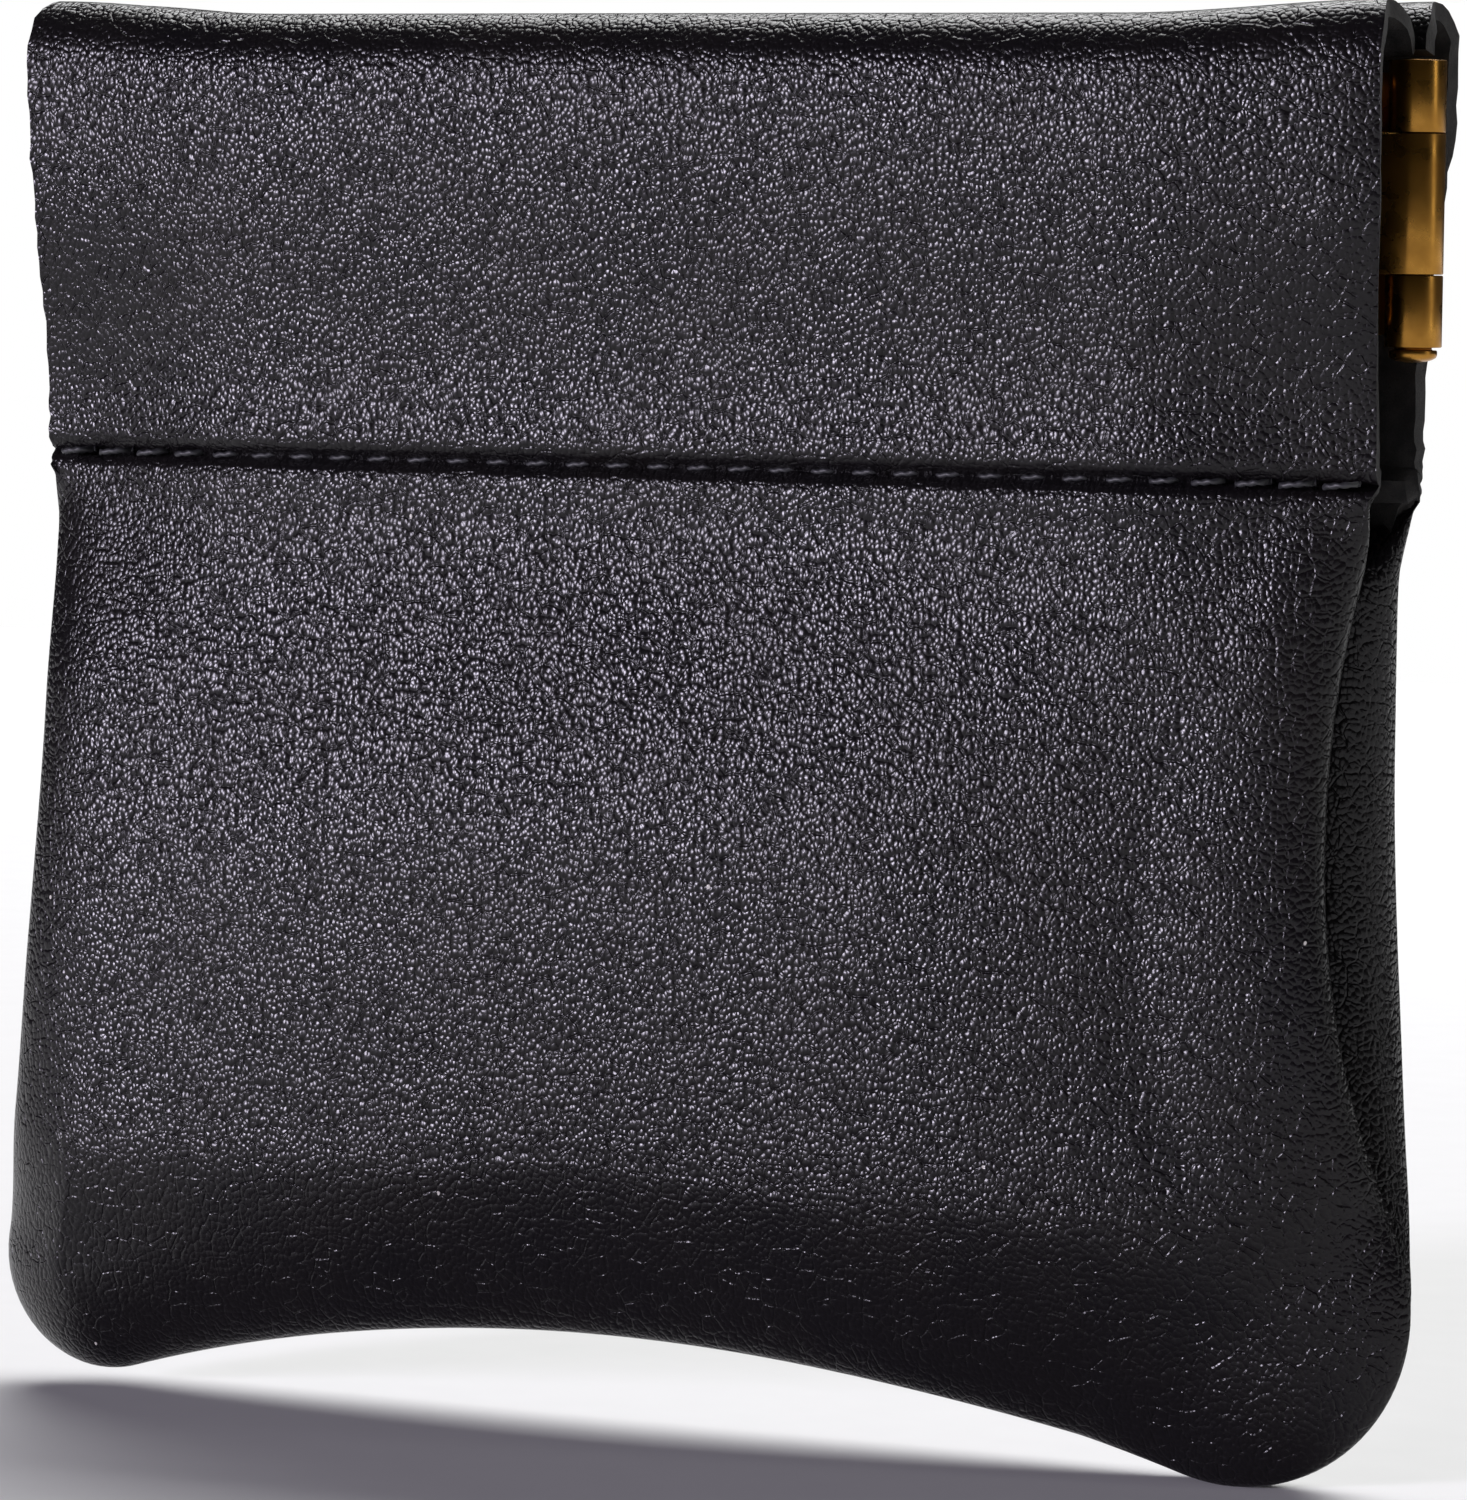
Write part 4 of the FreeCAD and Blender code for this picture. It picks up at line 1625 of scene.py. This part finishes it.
@dataclass(frozen=True)
class HingePin:
    """A steel pin through the knuckles, with a domed head below."""

    node: str
    body: str
    x: float
    seat_z: float
    top_z: float
    radius: float = 1.05
    head_radius: float = 1.35
    head_rim: float = 0.3
    head_dome: float = 0.4
    dome_steps: int = 4
    edge_round: float = 0.08
    edge_angle: float = math.radians(50)
    sides: int = 48

    def build(self) -> Piece:
        """Models the pin.

        Returns:
            The piece.
        """
        clear_selection()
        height = self.top_z - self.seat_z
        bpy.ops.mesh.primitive_cylinder_add(
            vertices=self.sides,
            radius=self.radius * MM,
            depth=height * MM,
            location=(self.x * MM, 0, (self.seat_z + height / 2) * MM),
        )
        piece = bpy.context.active_object
        piece.name = f"{self.node}_turned"
        bpy.ops.object.transform_apply(location=True, rotation=True, scale=True)
        select_points(piece, lambda place: place.z < self.seat_z + self.edge_round, "FACE")
        extrude((0, 0, 0), self.head_radius / self.radius)
        extrude((0, 0, -self.head_rim))
        turns = np.linspace(0, math.pi / 2, self.dome_steps + 2)[:-1]
        for before, after in zip(turns, turns[1:]):
            drop = self.head_dome * (math.sin(after) - math.sin(before))
            extrude((0, 0, -drop), math.cos(after) / math.cos(before))
        bpy.ops.object.mode_set(mode="OBJECT")
        round_edges(piece, self.edge_round, self.edge_angle)
        LOG.info("%s: %d faces", piece.name, len(piece.data.polygons))
        return piece

    def dress(self, piece: Piece, plating: Material) -> None:
        """Plates the pin and seats it on its body.

        Args:
            piece: the finished pin.
            plating: its finish.
        """
        piece.data.materials.append(plating)
        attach(piece, self.body)
        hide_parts(self.node)


# The studio


@dataclass(frozen=True)
class Softbox:
    """A soft light. Its place is given as the camera's is: degrees round and above, and millimetres away."""

    name: str
    azimuth: float
    elevation: float
    distance: float
    width: float
    height: float
    power: float
    colour: str = "#ffffff"


@dataclass(frozen=True)
class Studio:
    """A pale sweep, soft lights and a camera at the photograph's angle. Places are in millimetres."""

    azimuth: float = 25.0
    elevation: float = 4.17
    distance: float = 413.6
    focal_px: float = 7083.0
    aim_x: float = 1.5
    aim_z: float = 40.4
    roll: float = 0.74
    near_share: float = 0.1
    floor_width: float = 1400.0
    world_colour: str = "#ffffff"
    world_strength: float = 0.02
    backdrop_strength: float = 1.0
    lights: tuple[Softbox, ...] = (
        Softbox(
            "key", azimuth=-31.0, elevation=7.0, distance=1200.0, width=200.0, height=200.0, power=14.0,
            colour="#f2eaff",
        ),
        Softbox("rim", azimuth=95.0, elevation=10.0, distance=600.0, width=60.0, height=400.0, power=0.25),
        Softbox(
            "back", azimuth=180.0, elevation=55.0, distance=1500.0, width=1800.0, height=1200.0, power=36.0
        ),
    )

    def place(self, azimuth: float, elevation: float, distance: float) -> tuple[Vector, Vector]:
        """Finds a place round the purse.

        Args:
            azimuth: degrees from the front towards the right.
            elevation: degrees above the horizon.
            distance: from the middle of the purse.

        Returns:
            The place in metres, and the direction towards it.
        """
        turn, rise = math.radians(azimuth), math.radians(elevation)
        back = Vector((math.sin(turn) * math.cos(rise), -math.cos(turn) * math.cos(rise), math.sin(rise)))
        return (Vector((0, 0, self.aim_z)) + back * distance) * MM, back

    def add_camera(self) -> None:
        """Makes the camera and gives it to the scene."""
        camera = bpy.data.objects.new("camera", bpy.data.cameras.new("camera"))
        bpy.context.scene.collection.objects.link(camera)
        place, back = self.place(self.azimuth, self.elevation, self.distance)
        turn = math.radians(self.azimuth)
        camera.rotation_mode = "QUATERNION"
        level = (-back).to_track_quat("-Z", "Y")
        camera.rotation_quaternion = Quaternion(back, math.radians(self.roll)) @ level
        camera.location = place + Vector((math.cos(turn), math.sin(turn), 0)) * self.aim_x * MM
        camera.data.sensor_width = SENSOR_MM
        camera.data.lens = self.focal_px * SENSOR_MM / PHOTO_HEIGHT_PX
        camera.data.clip_start = self.distance * self.near_share * MM
        bpy.context.scene.camera = camera

    def add_lights(self) -> None:
        """Hangs the softboxes and sets a faint even light round them, which the camera sees as white."""
        for box in self.lights:
            light = bpy.data.lights.new(box.name, "AREA")
            light.shape = "RECTANGLE"
            light.size, light.size_y = box.width * MM, box.height * MM
            light.energy = box.power
            light.color = linear(box.colour)[:3]
            lamp = bpy.data.objects.new(box.name, light)
            bpy.context.scene.collection.objects.link(lamp)
            lamp.location, back = self.place(box.azimuth, box.elevation, box.distance)
            lamp.rotation_mode = "QUATERNION"
            lamp.rotation_quaternion = (-back).to_track_quat("-Z", "Y")
        world = bpy.data.worlds.new("studio")
        world.use_nodes = True
        tree = world.node_tree
        seen = add_node(tree, "LightPath", {}).outputs["Is Camera Ray"]
        shares = {"Value": seen, "To Min": self.world_strength, "To Max": self.backdrop_strength}
        strength = add_node(tree, "MapRange", shares).outputs["Result"]
        glow = {"Color": linear(self.world_colour), "Strength": strength}
        set_inputs(tree, tree.nodes["Background"], glow)
        bpy.context.scene.world = world
        bpy.context.scene.view_settings.view_transform = "Standard"

    def add_floor(self) -> None:
        """Lays the pale sweep that the purse stands on."""
        clear_selection()
        bpy.ops.mesh.primitive_plane_add(size=self.floor_width * MM)
        floor = bpy.context.active_object
        floor.name = "floor"
        floor.data.materials.append(PaleSweep().material())


# The assembly


def sew_channel(panel: LeatherPanel, motion: SqueezeMotion, thread: Material) -> list[Piece]:
    """Sews the two threads of one side's channel row.

    Args:
        panel: the leather that they lie on.
        motion: the frame's squeeze.
        thread: the finish of the stitches.

    Returns:
        The outer and the inner row.
    """
    side = panel.side
    outer_y = panel.depth - panel.groove_depth + panel.needle_rise
    inner_y = panel.tail_y - panel.bobbin_inset
    rows = []
    for layer, depth, inward in (("outer", outer_y, -side.value), ("inner", inner_y, side.value)):
        row = StitchRow(f"{side.label}_{layer}_stitches", side, panel.outline.row_z, depth, inward)
        stitches = row.build()
        stitches.data.materials.append(thread)
        motion.bend(stitches, panel.still_half_width)
        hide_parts(f"{side.label}_channel_{layer}_thread")
        rows.append(stitches)
    return rows


def sew_seam(panel: LeatherPanel, thread: Material) -> None:
    """Sews one side's thread of the hidden seam, on the felt of the seam allowance.

    Args:
        panel: the leather that the thread lies on.
        thread: the finish of the stitches.
    """
    side = panel.side
    course = panel.seam_course()
    felt_y = panel.seam_gap + panel.skive_share * panel.thickness
    row = StitchRow(
        f"{side.label}_seam_stitches",
        side,
        0.0,
        felt_y,
        -side.value,
        course=course,
        span=course.reach[-1],
        dive=felt_y,
    )
    stitches = row.build()
    stitches.data.materials.append(thread)
    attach(stitches, "pouch_seam")
    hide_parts(f"perimeter_{side.label}_thread")


def build_leather(motion: SqueezeMotion, thread: Material) -> None:
    """Builds both leather panels and their stitch rows.

    Args:
        motion: the frame's squeeze.
        thread: the finish of the stitches.
    """
    leather, felt = PebbledLeather().material(), FeltBacking().material()
    low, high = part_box("front_channel_outer_thread")
    row_z = (low.z + high.z) / 2 / MM
    top_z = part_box("front_panel")[1].z / MM
    panels = (
        LeatherPanel(
            Side.FRONT,
            PouchOutline(
                row_z,
                left=HalfOutline(
                    row_end_x=43.2, corner_x=46.3, corner_radius=6.8, corner_lift=1.0, side_radius=140.0
                ),
                right=HalfOutline(
                    row_end_x=42.3, corner_x=44.3, corner_radius=10.5, corner_lift=0.0, side_radius=66.0
                ),
            ),
            top_z,
            right_fall=3.4,
            right_end_x=42.0,
            right_flare=0.8,
            flare_start_share=0.15,
            flare_length_share=0.5,
        ),
        LeatherPanel(Side.BACK, PouchOutline(row_z), top_z),
    )
    for panel in panels:
        side = panel.side
        piece = panel.build()
        panel.dress(piece, leather, felt)
        motion.bend(piece, panel.still_half_width)
        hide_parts(f"{side.label}_panel")
        rows = sew_channel(panel, motion, thread)
        sew_seam(panel, thread)


def build_frame(motion: SqueezeMotion) -> None:
    """Builds the sprung frame: two strips and two pins.

    Args:
        motion: where the pins are.
    """
    plating = PlatedSteel().material()
    low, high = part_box("front_strip_right")
    middle_z = (low.z + high.z) / 2 / MM
    for side in Side:
        strip = SpringStrip(side, motion.pin_x, middle_z)
        strip.dress(strip.build(), plating)
    for node, body, x in (
        ("right_hinge_pin", "right_hinge", motion.pin_x),
        ("left_hinge_pin", "back_left", -motion.pin_x),
    ):
        low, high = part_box(node)
        pin = HingePin(node, body, x, low.z / MM + HingePin.head_rim + HingePin.head_dome, high.z / MM)
        pin.dress(pin.build(), plating)


def main() -> None:
    """Builds the purse and its studio."""
    logging.basicConfig(level=logging.INFO, format="%(message)s")
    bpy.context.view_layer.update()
    motion = SqueezeMotion.from_frame(frame["joints"])
    thread = TwistedPolyester().material()
    studio = Studio()
    studio.add_camera()
    studio.add_lights()
    studio.add_floor()
    build_leather(motion, thread)
    build_frame(motion)


if __name__ == "__main__":
    main()
